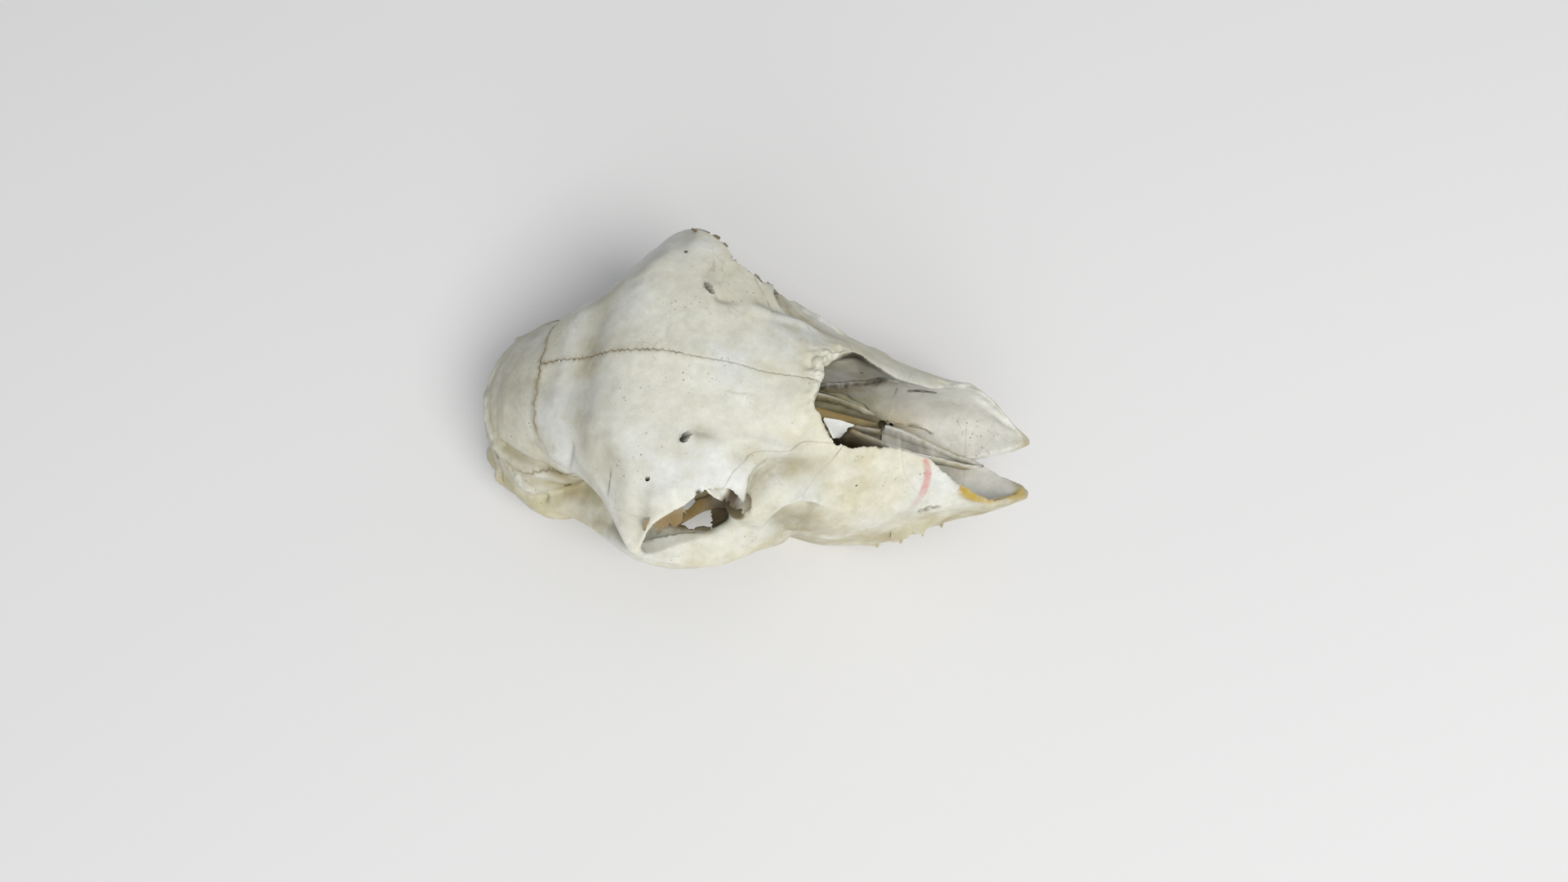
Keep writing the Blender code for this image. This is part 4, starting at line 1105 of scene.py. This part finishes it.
def scroll_bones(side):
    """The panel on the nose's side wall and the broken sheets around it."""
    pieces = [scroll_panel(side), strap(GOLDEN_BAR, side),
              ledge(WALL_RIDGE, 0.9, 81 + side, 0.3, side),
              ledge(FLOOR_CRUMBS, 0.5, 85 + side, 0.8, side, (0.0, 1.0, 0.0))]
    if side == -1:
        pieces.append(ledge(NOTCH_PLATE, 0.9, 91, 0.12, 1, (0.3, 0.5, 0.8)))
    return join(pieces)


# Colours of the bone, as light values from 0 to 1.
IVORY = (0.70, 0.69, 0.575)
CHALK = (0.73, 0.745, 0.72)
STRAW = (0.55, 0.50, 0.31)
STONE = (0.50, 0.485, 0.40)
TAN = (0.33, 0.275, 0.145)
HONEY = (0.40, 0.27, 0.09)
UMBER = (0.045, 0.032, 0.02)
SEAM_BROWN = (0.26, 0.20, 0.125)
GREEN_CREAM = (0.60, 0.60, 0.36)
GREY_VIOLET = (0.27, 0.25, 0.245)
ORANGE = (0.50, 0.35, 0.06)
RED_PENCIL = (0.58, 0.18, 0.16)
# A white for painted light on the nose's lower walls.
LIT_WALL_WHITE = (0.80, 0.80, 0.765)
# An olive for painted shade in grooves and hollows.
SHADE_OLIVE = (0.235, 0.205, 0.110)
ENAMEL = (0.66, 0.60, 0.44)

# Tints on both sides of the head, with painted highlights and shade: place, reach, colour and
# strength.
TINTS = [
    # The forehead whiter: its own chalky tone with painted light on the top.
    ((70, 12, 98), 26, CHALK, 0.45),
    ((62, 44, 90), 12, CHALK, 0.35),
    # Painted highlights on the cheek's swelling and beside the nose.
    ((112, 30.2, 67.6), 6, CHALK, 0.85),
    ((146, 25.5, 47), 7, CHALK, 0.6),
    ((84, 47, 55), 10, CHALK, 0.35),
    ((41.5, 22, 88), 7, STONE, 0.3),
    ((46, 25, 88), 9, STRAW, 0.25),
    # The crown behind darker, in part painted shade.
    ((12, 8, 66), 18, STONE, 0.55),
    ((4, 12, 56), 10, STRAW, 0.4),
    ((29, 29, 45), 10, STRAW, 0.7),
    ((33, 30.5, 41), 5, HONEY, 0.25),
    ((30, 29.4, 57), 6, TAN, 0.5),
    ((11, 24, 50), 7, STRAW, 0.6),
    # Painted shade in the hollow under the cheek's crest.
    ((108, 36, 60.5), 6, TAN, 0.85),
    ((116, 35, 54), 7.5, TAN, 0.7),
    ((112, 38, 42), 11, TAN, 0.65),
    ((128, 33, 34), 11, STRAW, 0.6),
    ((134, 28, 56), 10, STRAW, 0.4),
    # Painted shade in the valley and the groove in front of the eye.
    ((110, 24.4, 78.5), 7, TAN, 0.32),
    ((99, 30, 80), 4, STRAW, 0.5),
    ((125, 20, 72), 8, STRAW, 0.4),
    ((94.8, 37.6, 74), 3, STRAW, 0.6),
    ((76, 50, 46), 8, STRAW, 0.45),
    ((96, 42, 46), 7, STRAW, 0.5),
    ((152, 27.6, 32), 7, STRAW, 0.7),
]

# Marks on the surface: line, half width, colour, strength, fade at each end.
MARKS = [
    ([(150.6, -13.6, 66), (151.6, -16, 62.6), (151.8, -18.6, 60), (151.2, -21.4, 55.4),
      (149.6, -23.2, 51.4)], 0.55, RED_PENCIL, 0.66, 0.02, 0.3),
    ([(150.4, -22.2, 53), (148.4, -23.9, 49.6), (145.4, -25.8, 46.6)],
     0.7, (0.52, 0.36, 0.40), 0.45, 0.1, 0.5),
    ([(163, -18.1, 56.2), (166.3, -19.3, 52.9), (169.6, -19.5, 49.2), (174.5, -17.6, 43),
      (180.6, -13.6, 37), (189.4, -9.8, 31.7)], 0.8, ORANGE, 0.95, 0.02, 0.05),
    ([(163.4, -18.8, 55.4), (168, -19.8, 50.4), (171.5, -19.2, 46)], 1.7, ORANGE, 0.8, 0.2, 0.2),
    ([(54.8, -35.1, 91.2), (54, -38.5, 87.5), (53.7, -42, 83.2), (53.4, -45.7, 79)],
     0.12, SEAM_BROWN, 0.8, 0.2, 0.6),
    *[(mirrored(SECOND_LINE, side), 0.16, SEAM_BROWN, 0.5, 0.2, 0.4) for side in (-1, 1)],
    ([(97, 20.5, 91), (96, 24, 87), (94, 28, 86)], 0.12, SEAM_BROWN, 0.5, 0.3, 0.3),
    ([(139.7, 15.4, 63), (139.8, 17.2, 54.2), (139.8, 17.7, 45.6), (140, 17.6, 37)],
     0.2, GREY_VIOLET, 0.7, 0.1, 0.3),
    ([(96, -8, 92.4), (90, -9, 94.6), (82, -8.6, 97)], 0.12, TAN, 0.3, 0.4, 0.4),
]

# Painted shadow along the upper edge of the nose's panel and of the groove in front of it.
PANEL_SHADOW_LINE = [(x, nose, top + 0.5) for x, nose, top in
             ((112, 17, 43.2), (120.7, 17.6, 47.2), (129, 16.9, 51.6), (132.2, 16.4, 55.2),
              (134.6, 15.2, 60.6), (139.6, 14, 64.9), (145.7, 14.6, 62.4), (151.8, 15, 61.2),
              (156.2, 15.8, 60.6), (167, 17, 56))]

# The line under which the walls of the nose get painted light and above which
# they get painted shade, and the ridges of the vomer's leaves: x and z.
CREST = ((104, 115, 120.7, 129, 134.6, 139.6, 152, 167),
         (38, 45, 47.2, 51.6, 60.6, 64.9, 61.5, 56))
LEAF_RIDGE = ((104, 126, 137, 148, 167), (50, 51.5, 47, 41.5, 30))

# Lower strokes than this get no painted shade or highlight.
PAINTED_HEIGHT = 0.5
COLOUR_LAYER = "bone_colour"


class Coat:
    """Colours of a piece's vertices, laid on in layers by their place on the skull."""

    def __init__(self, points, ground):
        self.points = points
        # The same places with the right side folded onto the left.
        self.folded = np.column_stack([points[:, 0], np.abs(points[:, 1]), points[:, 2]])
        self.colours = np.tile(np.array(ground), (len(points), 1))

    def lay(self, colour, share, near=slice(None)):
        """Blend in a colour, by its share at all points or at the near ones."""
        share = np.clip(share, 0, 1)[:, None]
        self.colours[near] = self.colours[near] * (1 - share) + np.array(colour) * share

    def line_away(self, line):
        """Distance of the folded points to a line of the left side."""
        return line_distance(self.folded, line)[0]


def in_hollow(folded, shape):
    """Share of the way from a round hollow's middle to its wall."""
    centre, radii, turn = shape
    spin = Euler([math.radians(a) for a in turn]).to_matrix()
    return np.linalg.norm((folded - centre) @ np.array(spin) / radii, axis=1)


def suture_look(points):
    """Strength of a suture's line and of the stain beside it, at each point."""
    x, y, z = points.T
    wide = np.abs(y)
    middle = step_up(z, 72, 78) * falloff(y, 3.0)
    crown = falloff(x - 23.0, 5.0) * step_up(z, 58, 64)
    temple = (step_up(wide, 12, 18) * step_up(39 - x, 0, 4) * step_up(68 - z, 0, 5)
              * step_up(z, 48, 52))
    brow = step_up(x, 82, 86) * step_up(z, 75, 77.5) * step_up(wide, 12, 16)
    line = (0.07 + 0.30 * middle * (1 - 0.3 * step_up(x, 60, 90)) + 0.10 * crown
            + 0.42 * temple + 0.20 * brow + 0.12 * step_up(20 - x, 0, 10))
    stain = 0.34 * middle * step_up(84 - x, 0, 34) + 0.55 * crown + 0.5 * temple
    return line, stain


def paint_surface(coat, patches, blotches):
    """Chalky and yellowed patches, the rear and underside darker, in part painted shade, and the
    tints.
    """
    x, wide, z = coat.folded.T
    coat.lay(CHALK, np.clip(0.40 + 0.9 * patches, 0, 1))
    coat.lay(STRAW, 0.30 * step_up(blotches, 0.15, 0.8))
    # Darker towards the rear and the underside: their own tone, in part painted shade.
    rear = step_up(40 - x, 0, 30) * step_up(86 - z, 0, 26)
    coat.lay(STONE, rear * (0.5 + 0.35 * blotches))
    coat.lay(TAN, step_up(34 - x, 0, 20) * step_up(62 - z, 0, 14) * (0.22 + 0.25 * blotches))
    coat.lay(STRAW, step_up(50 - z, 0, 24) * (0.45 + 0.35 * blotches))
    coat.lay(TAN, step_up(30 - z + 0.12 * x, 0, 16) * (0.30 + 0.25 * blotches))
    for place, reach, colour, strength in TINTS:
        near = falloff(np.linalg.norm(coat.folded - place, axis=1), reach)
        coat.lay(colour, strength * near * (0.85 + 0.35 * blotches))
    fossa = (step_up(46 - wide, 0, 12) * step_up(x, 24, 34) * step_up(62 - x, 0, 10)
             * step_up(66 - z, 0, 10) * step_up(wide, 16, 22))
    coat.lay(TAN, 0.4 * fossa * (0.8 + blotches))


def paint_orbit(coat, is_shelf):
    """The orbits' walls brown, with painted shade in their depth."""
    x, wide, z = coat.folded.T
    orbit = step_up(1.07 - in_hollow(coat.folded, ORBIT), 0, 0.06) * step_up(45 - wide, 0, 3)
    orbit *= step_up(97 - x, 0, 3) * (1 - step_up(x, 86.5, 89.5) * step_up(z, 70, 74))
    if is_shelf:
        orbit *= 1 - step_up(x, 80, 83) * step_up(z, 66, 70)
    coat.lay(TAN, orbit * step_up(88.5 - z, 0, 3))
    # Painted shade: near-black umber deep in the orbit.
    coat.lay(UMBER, 0.85 * orbit * step_up(42 - wide, 0, 8) * step_up(86 - z, 0, 6))


def paint_nose(coat, normals, blotches, grain, is_scroll):
    """Inside the nose: painted light below the crest, painted shade above it and in the depth."""
    x, wide, z = coat.folded.T
    y = coat.points[:, 1]
    inside = (step_up(19.6 - wide, 0, 1.0) * step_up(x, 84, 96) * step_up(83 - z, 0, 3)
              * step_up(z, 21, 24) * step_up(188 - x, 0, 5))
    facing = np.where(wide > 2.0, -np.sign(y) * normals[:, 1], 1.0)
    inside *= step_up(facing, -0.25, 0.15)
    crest = np.interp(x, *CREST)
    above = inside * step_up(z - crest, 0.0, 1.0)
    below = inside * step_up(crest - z, -0.4, 0.6)
    # Painted light on the walls under the crest and at the front of the nose.
    coat.lay(LIT_WALL_WHITE, 0.9 * np.maximum(below, inside * step_up(x, 138, 146)))
    # Painted shade: grey and dark brown on the walls over the crest, darker higher up.
    coat.lay(GREY_VIOLET, above * (0.5 + 0.35 * blotches) * (0.45 + 0.55 * step_up(z, 58, 74)))
    coat.lay(UMBER, above * step_up(z, 64, 76) * step_up(140 - x, 0, 12)
             * (0.55 + 0.6 * blotches))
    # Painted shade: brown, then near-black, deeper into the nose.
    coat.lay(TAN, inside * step_up(119 - x, 0, 9) * 0.6)
    coat.lay(UMBER, inside * step_up(113.5 - x, 0, 8) * 0.9)
    coat.lay(GREEN_CREAM, below * step_up(141 - x, 0, 8) * step_up(52 - z, 0, 14)
             * (0.65 + 0.5 * blotches))
    coat.lay(STRAW, below * step_up(38 - z, 0, 10) * step_up(158 - x, 0, 20) * 0.4)
    brown = step_up(113 + 0.9 * (z - 30) - x, -4, 8)
    coat.lay(TAN, below * brown * 0.8)
    coat.lay(UMBER, below * brown * step_up(grain + blotches, -0.2, 1.0) * 0.75)
    floor = inside * step_up(31 - z, 0, 4) * step_up(154 - x, 0, 14)
    floor *= 0.4 if is_scroll else 1.0
    coat.lay(HONEY, 0.55 * floor)
    coat.lay(UMBER, 0.6 * floor * step_up(142 - x, 0, 12))
    # Painted shadow along the panel's upper edge.
    coat.lay(UMBER, 0.6 * inside * falloff(coat.line_away(PANEL_SHADOW_LINE), 0.8)
             * (0.9 + 0.4 * grain) * (1 - 0.6 * step_up(x, 136, 140)))
    # Painted shadow on the wall just over the panel's free edge.
    free = falloff(z - crest - 0.2, 0.8) * step_up(wide, 12, 13) * step_up(138 - x, 0, 3)
    coat.lay(UMBER, 0.7 * np.sqrt(inside) * free * (0.9 + 0.5 * grain))


def paint_vomer(coat, blotches, grain):
    """Browned leaves with a dark groove between them."""
    x, _, z = coat.folded.T
    coat.lay(HONEY, step_up(137.4 - x, 0, 1.5) * (0.45 + 0.3 * blotches))
    coat.lay(TAN, 0.15 + 0.4 * grain)
    coat.lay(UMBER, 0.7 * step_up(np.interp(x, *LEAF_RIDGE) - z, 0.8, 4.5))


def paint_shelf(coat, blotches):
    """Brown thin bone in the orbit's floor and at its far rim."""
    x, wide, z = coat.folded.T
    thin = (step_up(43.4 - wide + 0.1 * (x - 70), 0, 2.0) * step_up(83 - z, 0, 2)
            + step_up(z, 80, 84) * step_up(79.6 - x, 0, 1))
    coat.lay(HONEY, thin * (0.8 + 0.4 * blotches))
    coat.lay(UMBER, thin * (0.45 + 0.5 * step_up(x, 78, 84) * (0.8 + 0.5 * blotches)))


def paint_scroll(coat, blotches, grain):
    """The broken sheets beside the nose's panel, the golden bar and the chalky plate."""
    x, wide, z = coat.folded.T
    sheet = falloff(coat.line_away(WALL_RIDGE[1]), 2.6) * step_up(131 - x, 0, 5)
    coat.lay(TAN, 0.9 * sheet)
    coat.lay(UMBER, sheet * (0.6 + 0.6 * blotches))
    bar = step_up(9.5 - wide, 0, 0.6) * step_up(135 - x, 0, 1)
    coat.lay(HONEY, bar * (0.8 + 0.3 * blotches))
    coat.lay(TAN, bar * (0.25 + 0.5 * grain))
    # Painted shade on the bar deeper in the nose.
    coat.lay(UMBER, bar * step_up(112 - x, 0, 8))
    coat.lay(CHALK, step_up(z, 70, 74))


def paint_groove_shade_and_ridge_light(coat, grain):
    """Painted shade along the hollows and grooves, and painted highlights on the ridges."""
    for line, width, height, *fades in STROKES:
        if abs(height) < PAINTED_HEIGHT:
            continue
        for side, _ in SIDES:
            near, distance, fade = near_line(coat.points, mirrored(line, side),
                                             3 * (width * 1.1 + 0.8), fades, 0.05)
            share = falloff(np.maximum(distance - 0.8, 0), width) * fade * (0.9 + 0.4 * grain[near])
            if height < 0:
                # Painted shade in the hollow.
                coat.lay(SHADE_OLIVE, share * min(0.62, -0.34 * height), near)
            else:
                # Painted highlight on the ridge.
                coat.lay(CHALK, 0.4 * share, near)


def paint_pits(coat):
    """Painted shade inside the foramina."""
    for place, way, radius, _ in PITS:
        for side, _ in SIDES:
            place_in, inwards = np.array(mirrored((place, way), side), float)
            off = coat.points - place_in
            near = np.flatnonzero(np.abs(off).max(axis=1) < 9)
            inwards /= np.linalg.norm(inwards)
            along = off[near] @ inwards
            aside = np.linalg.norm(off[near] - along[:, None] * inwards, axis=1)
            share = step_up(along, 0.5, 2.0) * step_up(radius * 1.3 + 0.3 - aside, 0, 0.4)
            coat.lay(UMBER, 0.62 * share, near)


def paint_marks(coat, grain):
    """Pencil strokes, stains and hairline cracks."""
    for line, width, colour, strength, *fades in MARKS:
        near, distance, fade = near_line(coat.points, line, 4 * width + 3, fades)
        core = 0.8 if width > 0.5 else 0.3
        coat.lay(colour, strength * falloff(np.maximum(distance - core, 0), width) * fade
                 * (0.85 + 0.3 * grain[near]), near)


def paint(name, points, normals, seam):
    """Colour of each vertex of a bone from its place on the skull."""
    blotches = fractal(points, 6.0, 111)
    grain = fractal(points, 1.7, 121, 2)
    coat = Coat(points, IVORY)
    paint_surface(coat, fractal(points, 17.0, 101), blotches)
    paint_orbit(coat, name.startswith("orbit"))
    paint_nose(coat, normals, blotches, grain, name.startswith("concha"))
    x = points[:, 0]
    coat.lay(TAN, step_up(x, 181, 190) * (0.5 + 0.5 * blotches))
    if name.startswith("vomer"):
        paint_vomer(coat, blotches, grain)
    if name.startswith("orbit"):
        paint_shelf(coat, blotches)
    if name.startswith("concha"):
        paint_scroll(coat, blotches, grain)
    paint_groove_shade_and_ridge_light(coat, grain)
    paint_pits(coat)
    paint_marks(coat, grain)
    # The sutures: a broken brown line, with a soft stain beside it on the crown.
    line, stain = suture_look(points)
    broken = np.clip(0.85 + 0.55 * fractal(points, 2.4, 131), 0.15, 1.3)
    coat.lay(TAN, stain * falloff(seam, 1.3) * (0.8 + 0.4 * blotches))
    reach = 0.40 - 0.18 * step_up(x, 80, 90)
    coat.lay(SEAM_BROWN, line * broken * falloff(seam, reach) * 1.25)
    return np.clip(coat.colours * (1 + 0.05 * grain[:, None]), 0, 1)


def paint_teeth(points):
    """Enamel with brown in its pits and a stain towards the root."""
    coat = Coat(points, ENAMEL)
    coat.lay(STRAW, 0.4 + 0.4 * fractal(points, 3.0, 141))
    gum = points[:, 2] - points[:, 0] * math.tan(NOSE_UP)
    coat.lay(TAN, 0.5 * step_up(gum, -3.0, 2.0))
    return np.clip(coat.colours, 0, 1)


def feed(node, sockets):
    """Set or link the inputs of a node."""
    for socket, value in sockets.items():
        if isinstance(value, bpy.types.NodeSocket):
            node.id_data.links.new(value, node.inputs[socket])
        else:
            node.inputs[socket].default_value = value


def bone_material(name):
    """Dry bone: painted colour, fine grain, pores, hairlines and a soft sheen."""
    roughness, bump, pores = FINISHES[name]
    material = bpy.data.materials.new(name)
    material.use_nodes = True
    nodes = material.node_tree.nodes

    def add(kind, sockets, **settings):
        node = nodes.new("ShaderNode" + kind)
        for setting, value in settings.items():
            setattr(node, setting, value)
        feed(node, sockets)
        return node.outputs

    def noise(scale, detail, rough=0.55):
        return add("TexNoise", {"Scale": scale, "Detail": detail, "Roughness": rough,
                                "Vector": place})

    def ramp(source, low, high, start=0.0, end=1.0):
        return add("MapRange", {"From Min": low, "From Max": high, "To Min": start,
                                "To Max": end, "Value": source})["Result"]

    def blend(kind, share, first, second):
        return add("Mix", {0: share, 6: first, 7: second},
                   data_type="RGBA", blend_type=kind)[2]

    def maths(operation, first, second):
        return add("Math", {0: first, 1: second}, operation=operation)[0]

    painted = add("VertexColor", {}, layer_name=COLOUR_LAYER)["Color"]
    place = add("TexCoord", {})["Object"]
    cloud = noise(140.0, 5.0, 0.6)[0]
    fine = noise(1500.0, 4.0, 0.7)[0]
    pits = add("TexVoronoi", {"Scale": 520.0, "Vector": place})
    warped = add("VectorMath", {0: noise(220.0, 3.0)["Color"], 1: (0.004, 0.004, 0.004),
                                2: place}, operation="MULTIPLY_ADD")
    hairs = add("TexVoronoi", {"Scale": 62.0, "Vector": warped[0]},
                feature="DISTANCE_TO_EDGE")

    colour = blend("MULTIPLY", 1.0, painted,
                   blend("MIX", ramp(cloud, 0.35, 0.65),
                         (0.90, 0.895, 0.87, 1.0), (1.03, 1.03, 1.03, 1.0)))
    colour = blend("MULTIPLY", 0.5, colour,
                   blend("MIX", ramp(fine, 0.3, 0.7),
                         (0.84, 0.83, 0.80, 1.0), (1.05, 1.05, 1.05, 1.0)))
    dots = maths("MULTIPLY", ramp(pits["Distance"], 0.10, 0.20, 1.0, 0.0),
                 ramp(noise(60.0, 2.0)[0], 0.54, 0.66, 0.0, pores))
    colour = blend("MIX", dots, colour, (0.22, 0.17, 0.11, 1.0))
    hairlines = maths("MULTIPLY", ramp(hairs["Distance"], 0.0, 0.012, 1.0, 0.0),
                      ramp(noise(45.0, 2.0)[0], 0.56, 0.66, 0.0, 0.35))
    colour = blend("MIX", hairlines, colour, (0.30, 0.25, 0.17, 1.0))
    relief = add("Bump", {"Strength": bump, "Distance": 0.00012,
                          "Height": maths("SUBTRACT", fine, dots)})
    feed(nodes["Principled BSDF"], {
        "Base Color": colour, "Normal": relief[0],
        "Roughness": ramp(cloud, 0.3, 0.7, roughness - 0.08, roughness + 0.08),
        "Specular IOR Level": 0.35, "Subsurface Weight": 0.06,
        "Subsurface Radius": (1.0, 0.72, 0.45), "Subsurface Scale": 0.0012})
    return material


# Finishes: roughness, strength of the fine relief, and darkness of the pores.
FINISHES = {"dry_bone": (0.56, 0.35, 0.8), "thin_bone": (0.5, 0.3, 0.4),
            "enamel": (0.36, 0.15, 0.2)}


def find_seams(surface, corners, found):
    """Points where two bones meet on the surface, in millimetres."""
    seams = []
    for bone in found.values():
        points = points_of(bone)
        on_seam = np.array([corners.find(spot)[2] > OFF_CORNER
                            and surface.find_nearest(spot, OFF_SURFACE)[0] is not None
                            for spot in map(Vector, points)])
        ends = np.empty(len(bone.data.edges) * 2, int)
        bone.data.edges.foreach_get("vertices", ends)
        ends = ends.reshape(-1, 2)
        ends = ends[on_seam[ends].all(axis=1)]
        seams += [points[on_seam], (points[ends[:, 0]] + points[ends[:, 1]]) / 2]
    return np.vstack(seams)


def tree_of(points):
    """Search tree over points."""
    tree = KDTree(len(points))
    for i, point in enumerate(points):
        tree.insert(point, i)
    tree.balance()
    return tree


def distances(tree, points):
    """Distance of each point to the nearest point of a tree."""
    return np.array([tree.find(point)[2] for point in points])


def refine_seams(bone, tree):
    """Halve the edges near a suture, so that its line is drawn finely."""
    near = distances(tree, points_of(bone)) < SEAM_REACH
    bm = bmesh.new()
    bm.from_mesh(bone.data)
    bm.verts.ensure_lookup_table()

    def long_edges():
        return [e for e in bm.edges if near[e.verts[0].index] and near[e.verts[1].index]
                and e.calc_length() > SEAM_EDGE * MM]

    faces = {f for e in long_edges() for f in e.link_faces if len(f.verts) > 3}
    bmesh.ops.triangulate(bm, faces=list(faces))
    bmesh.ops.subdivide_edges(bm, edges=long_edges(), cuts=1)
    bmesh.ops.triangulate(bm, faces=[f for f in bm.faces if len(f.verts) > 4])
    bm.to_mesh(bone.data)
    bm.free()


def finish_piece(piece, name, colours, material, nodes=()):
    """Name, colour, shading and place of a piece, and the solids it stands for."""
    piece.name = name
    piece.data.name = name
    layer = piece.data.color_attributes.new(COLOUR_LAYER, "FLOAT_COLOR", "POINT")
    rgba = np.column_stack([colours, np.ones(len(colours))])
    layer.data.foreach_set("color", rgba.ravel())
    piece.data.materials.clear()
    piece.data.materials.append(material)
    piece.data.shade_smooth()
    piece.data.set_sharp_from_angle(angle=SHARP_ANGLE)
    piece.data.transform(Matrix.Translation(PLACE * MM))
    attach(piece, "root")
    if nodes:
        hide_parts(*nodes)


def finish_bones(found, seams, material):
    """Groove and paint the bones of the fused skull."""
    tree = tree_of(seams)
    for node, bone in found.items():
        refine_seams(bone, tree)
        points = points_of(bone)
        normals = read(bone, "normal")
        seam = distances(tree, points)
        depth = SEAM_DEPTH * suture_look(points)[0] * falloff(seam, SEAM_WIDTH)
        colours = paint(node, points, normals, seam)
        set_points(bone, points - normals * depth[:, None])
        finish_piece(bone, node + "_bone", colours, material, [node])


def build_skull():
    """Every bone of the skull, finished."""
    skull = fused_skull()
    hollow_out(skull)
    drill(skull)
    sculpt(skull)
    corners = tree_of(points_of(skull))
    surface = surface_of(skull)
    found = bones(skull)
    seams = find_seams(surface, corners, found)
    finish_bones(found, seams, bone_material("dry_bone"))
    thin = bone_material("thin_bone")
    inner = [(vomer(), "vomer_leaves", ["vomer"])]
    for side, end in SIDES:
        inner += [(scroll_bones(side), "concha_scroll" + end, ["concha" + end]),
                  (ledge(FLANGE, 0.7, 95 + side, 0.3, side, (0.25, 0.9, 0.3)),
                   "maxilla_flange" + end, []),
                  (orbit_shelf(side), "orbit_shelf" + end, [])]
    for piece, name, nodes in inner:
        points = points_of(piece)
        far = np.full(len(points), FAR_FROM_SEAM)
        finish_piece(piece, name, paint(name, points, read(piece, "normal"), far), thin, nodes)
    enamel = bone_material("enamel")
    for side, end in SIDES:
        teeth = tooth_row(side)
        finish_piece(teeth, "cheek_teeth" + end, paint_teeth(points_of(teeth)), enamel)


# The camera of the photograph: place in the skull's frame, the directions of
# the picture's right, down and depth, and the lens for a 36 mm sensor.
CAMERA_PLACE = Vector((121.449, -131.351, 392.460))
CAMERA_RIGHT = Vector((0.993293, 0.115059, -0.011387))
CAMERA_DOWN = Vector((0.104073, -0.932641, -0.345470))
CAMERA_DEPTH = Vector((-0.050370, 0.341968, -0.938361))
LENS = 24.42

# Lamps: name, place in metres, width, power and colour, and where they point.
LAMPS = (("key", (1.0, -1.0, 1.9), 1.1, 32.0, (1.0, 0.985, 0.95)),
         ("fill", (0.2, -1.8, 1.2), 1.8, 11.0, (0.97, 0.985, 1.0)))
LIGHT_AIM = Vector((0.0, 0.0, 0.03))


def place_camera():
    """Camera at the photograph's place and angle."""
    data = bpy.data.cameras.new("camera")
    data.lens = LENS
    data.clip_start = 0.01
    camera = add_object("camera", data)
    turn = Matrix((CAMERA_RIGHT, -CAMERA_DOWN, -CAMERA_DEPTH)).transposed()
    camera.matrix_world = Matrix.Translation((CAMERA_PLACE + PLACE) * MM) @ turn.to_4x4()
    bpy.context.scene.camera = camera


def area_light(name, place, size, power, colour):
    """Large soft lamp that faces the skull."""
    data = bpy.data.lights.new(name, "AREA")
    data.shape = "DISK"
    data.size = size
    data.energy = power
    data.color = colour
    lamp = add_object(name, data)
    lamp.location = place
    lamp.rotation_euler = (Vector(place) - LIGHT_AIM).to_track_quat("Z", "Y").to_euler()


def set_stage():
    """Pale floor, pale surroundings and soft studio light."""
    bm = bmesh.new()
    bmesh.ops.create_grid(bm, x_segments=1, y_segments=1, size=2.5)
    floor = object_from(bm, "floor")
    material = bpy.data.materials.new("pale_floor")
    material.use_nodes = True
    feed(material.node_tree.nodes["Principled BSDF"], {
        "Base Color": (0.82, 0.82, 0.825, 1.0), "Roughness": 0.9, "Specular IOR Level": 0.1})
    floor.data.materials.append(material)
    world = bpy.data.worlds.new("pale_world")
    bpy.context.scene.world = world
    world.use_nodes = True
    feed(world.node_tree.nodes["Background"],
         {"Color": (0.97, 0.98, 1.0, 1.0), "Strength": 0.40})
    for lamp in LAMPS:
        area_light(*lamp)
    bpy.context.scene.view_settings.view_transform = "Standard"


build_skull()
place_camera()
set_stage()
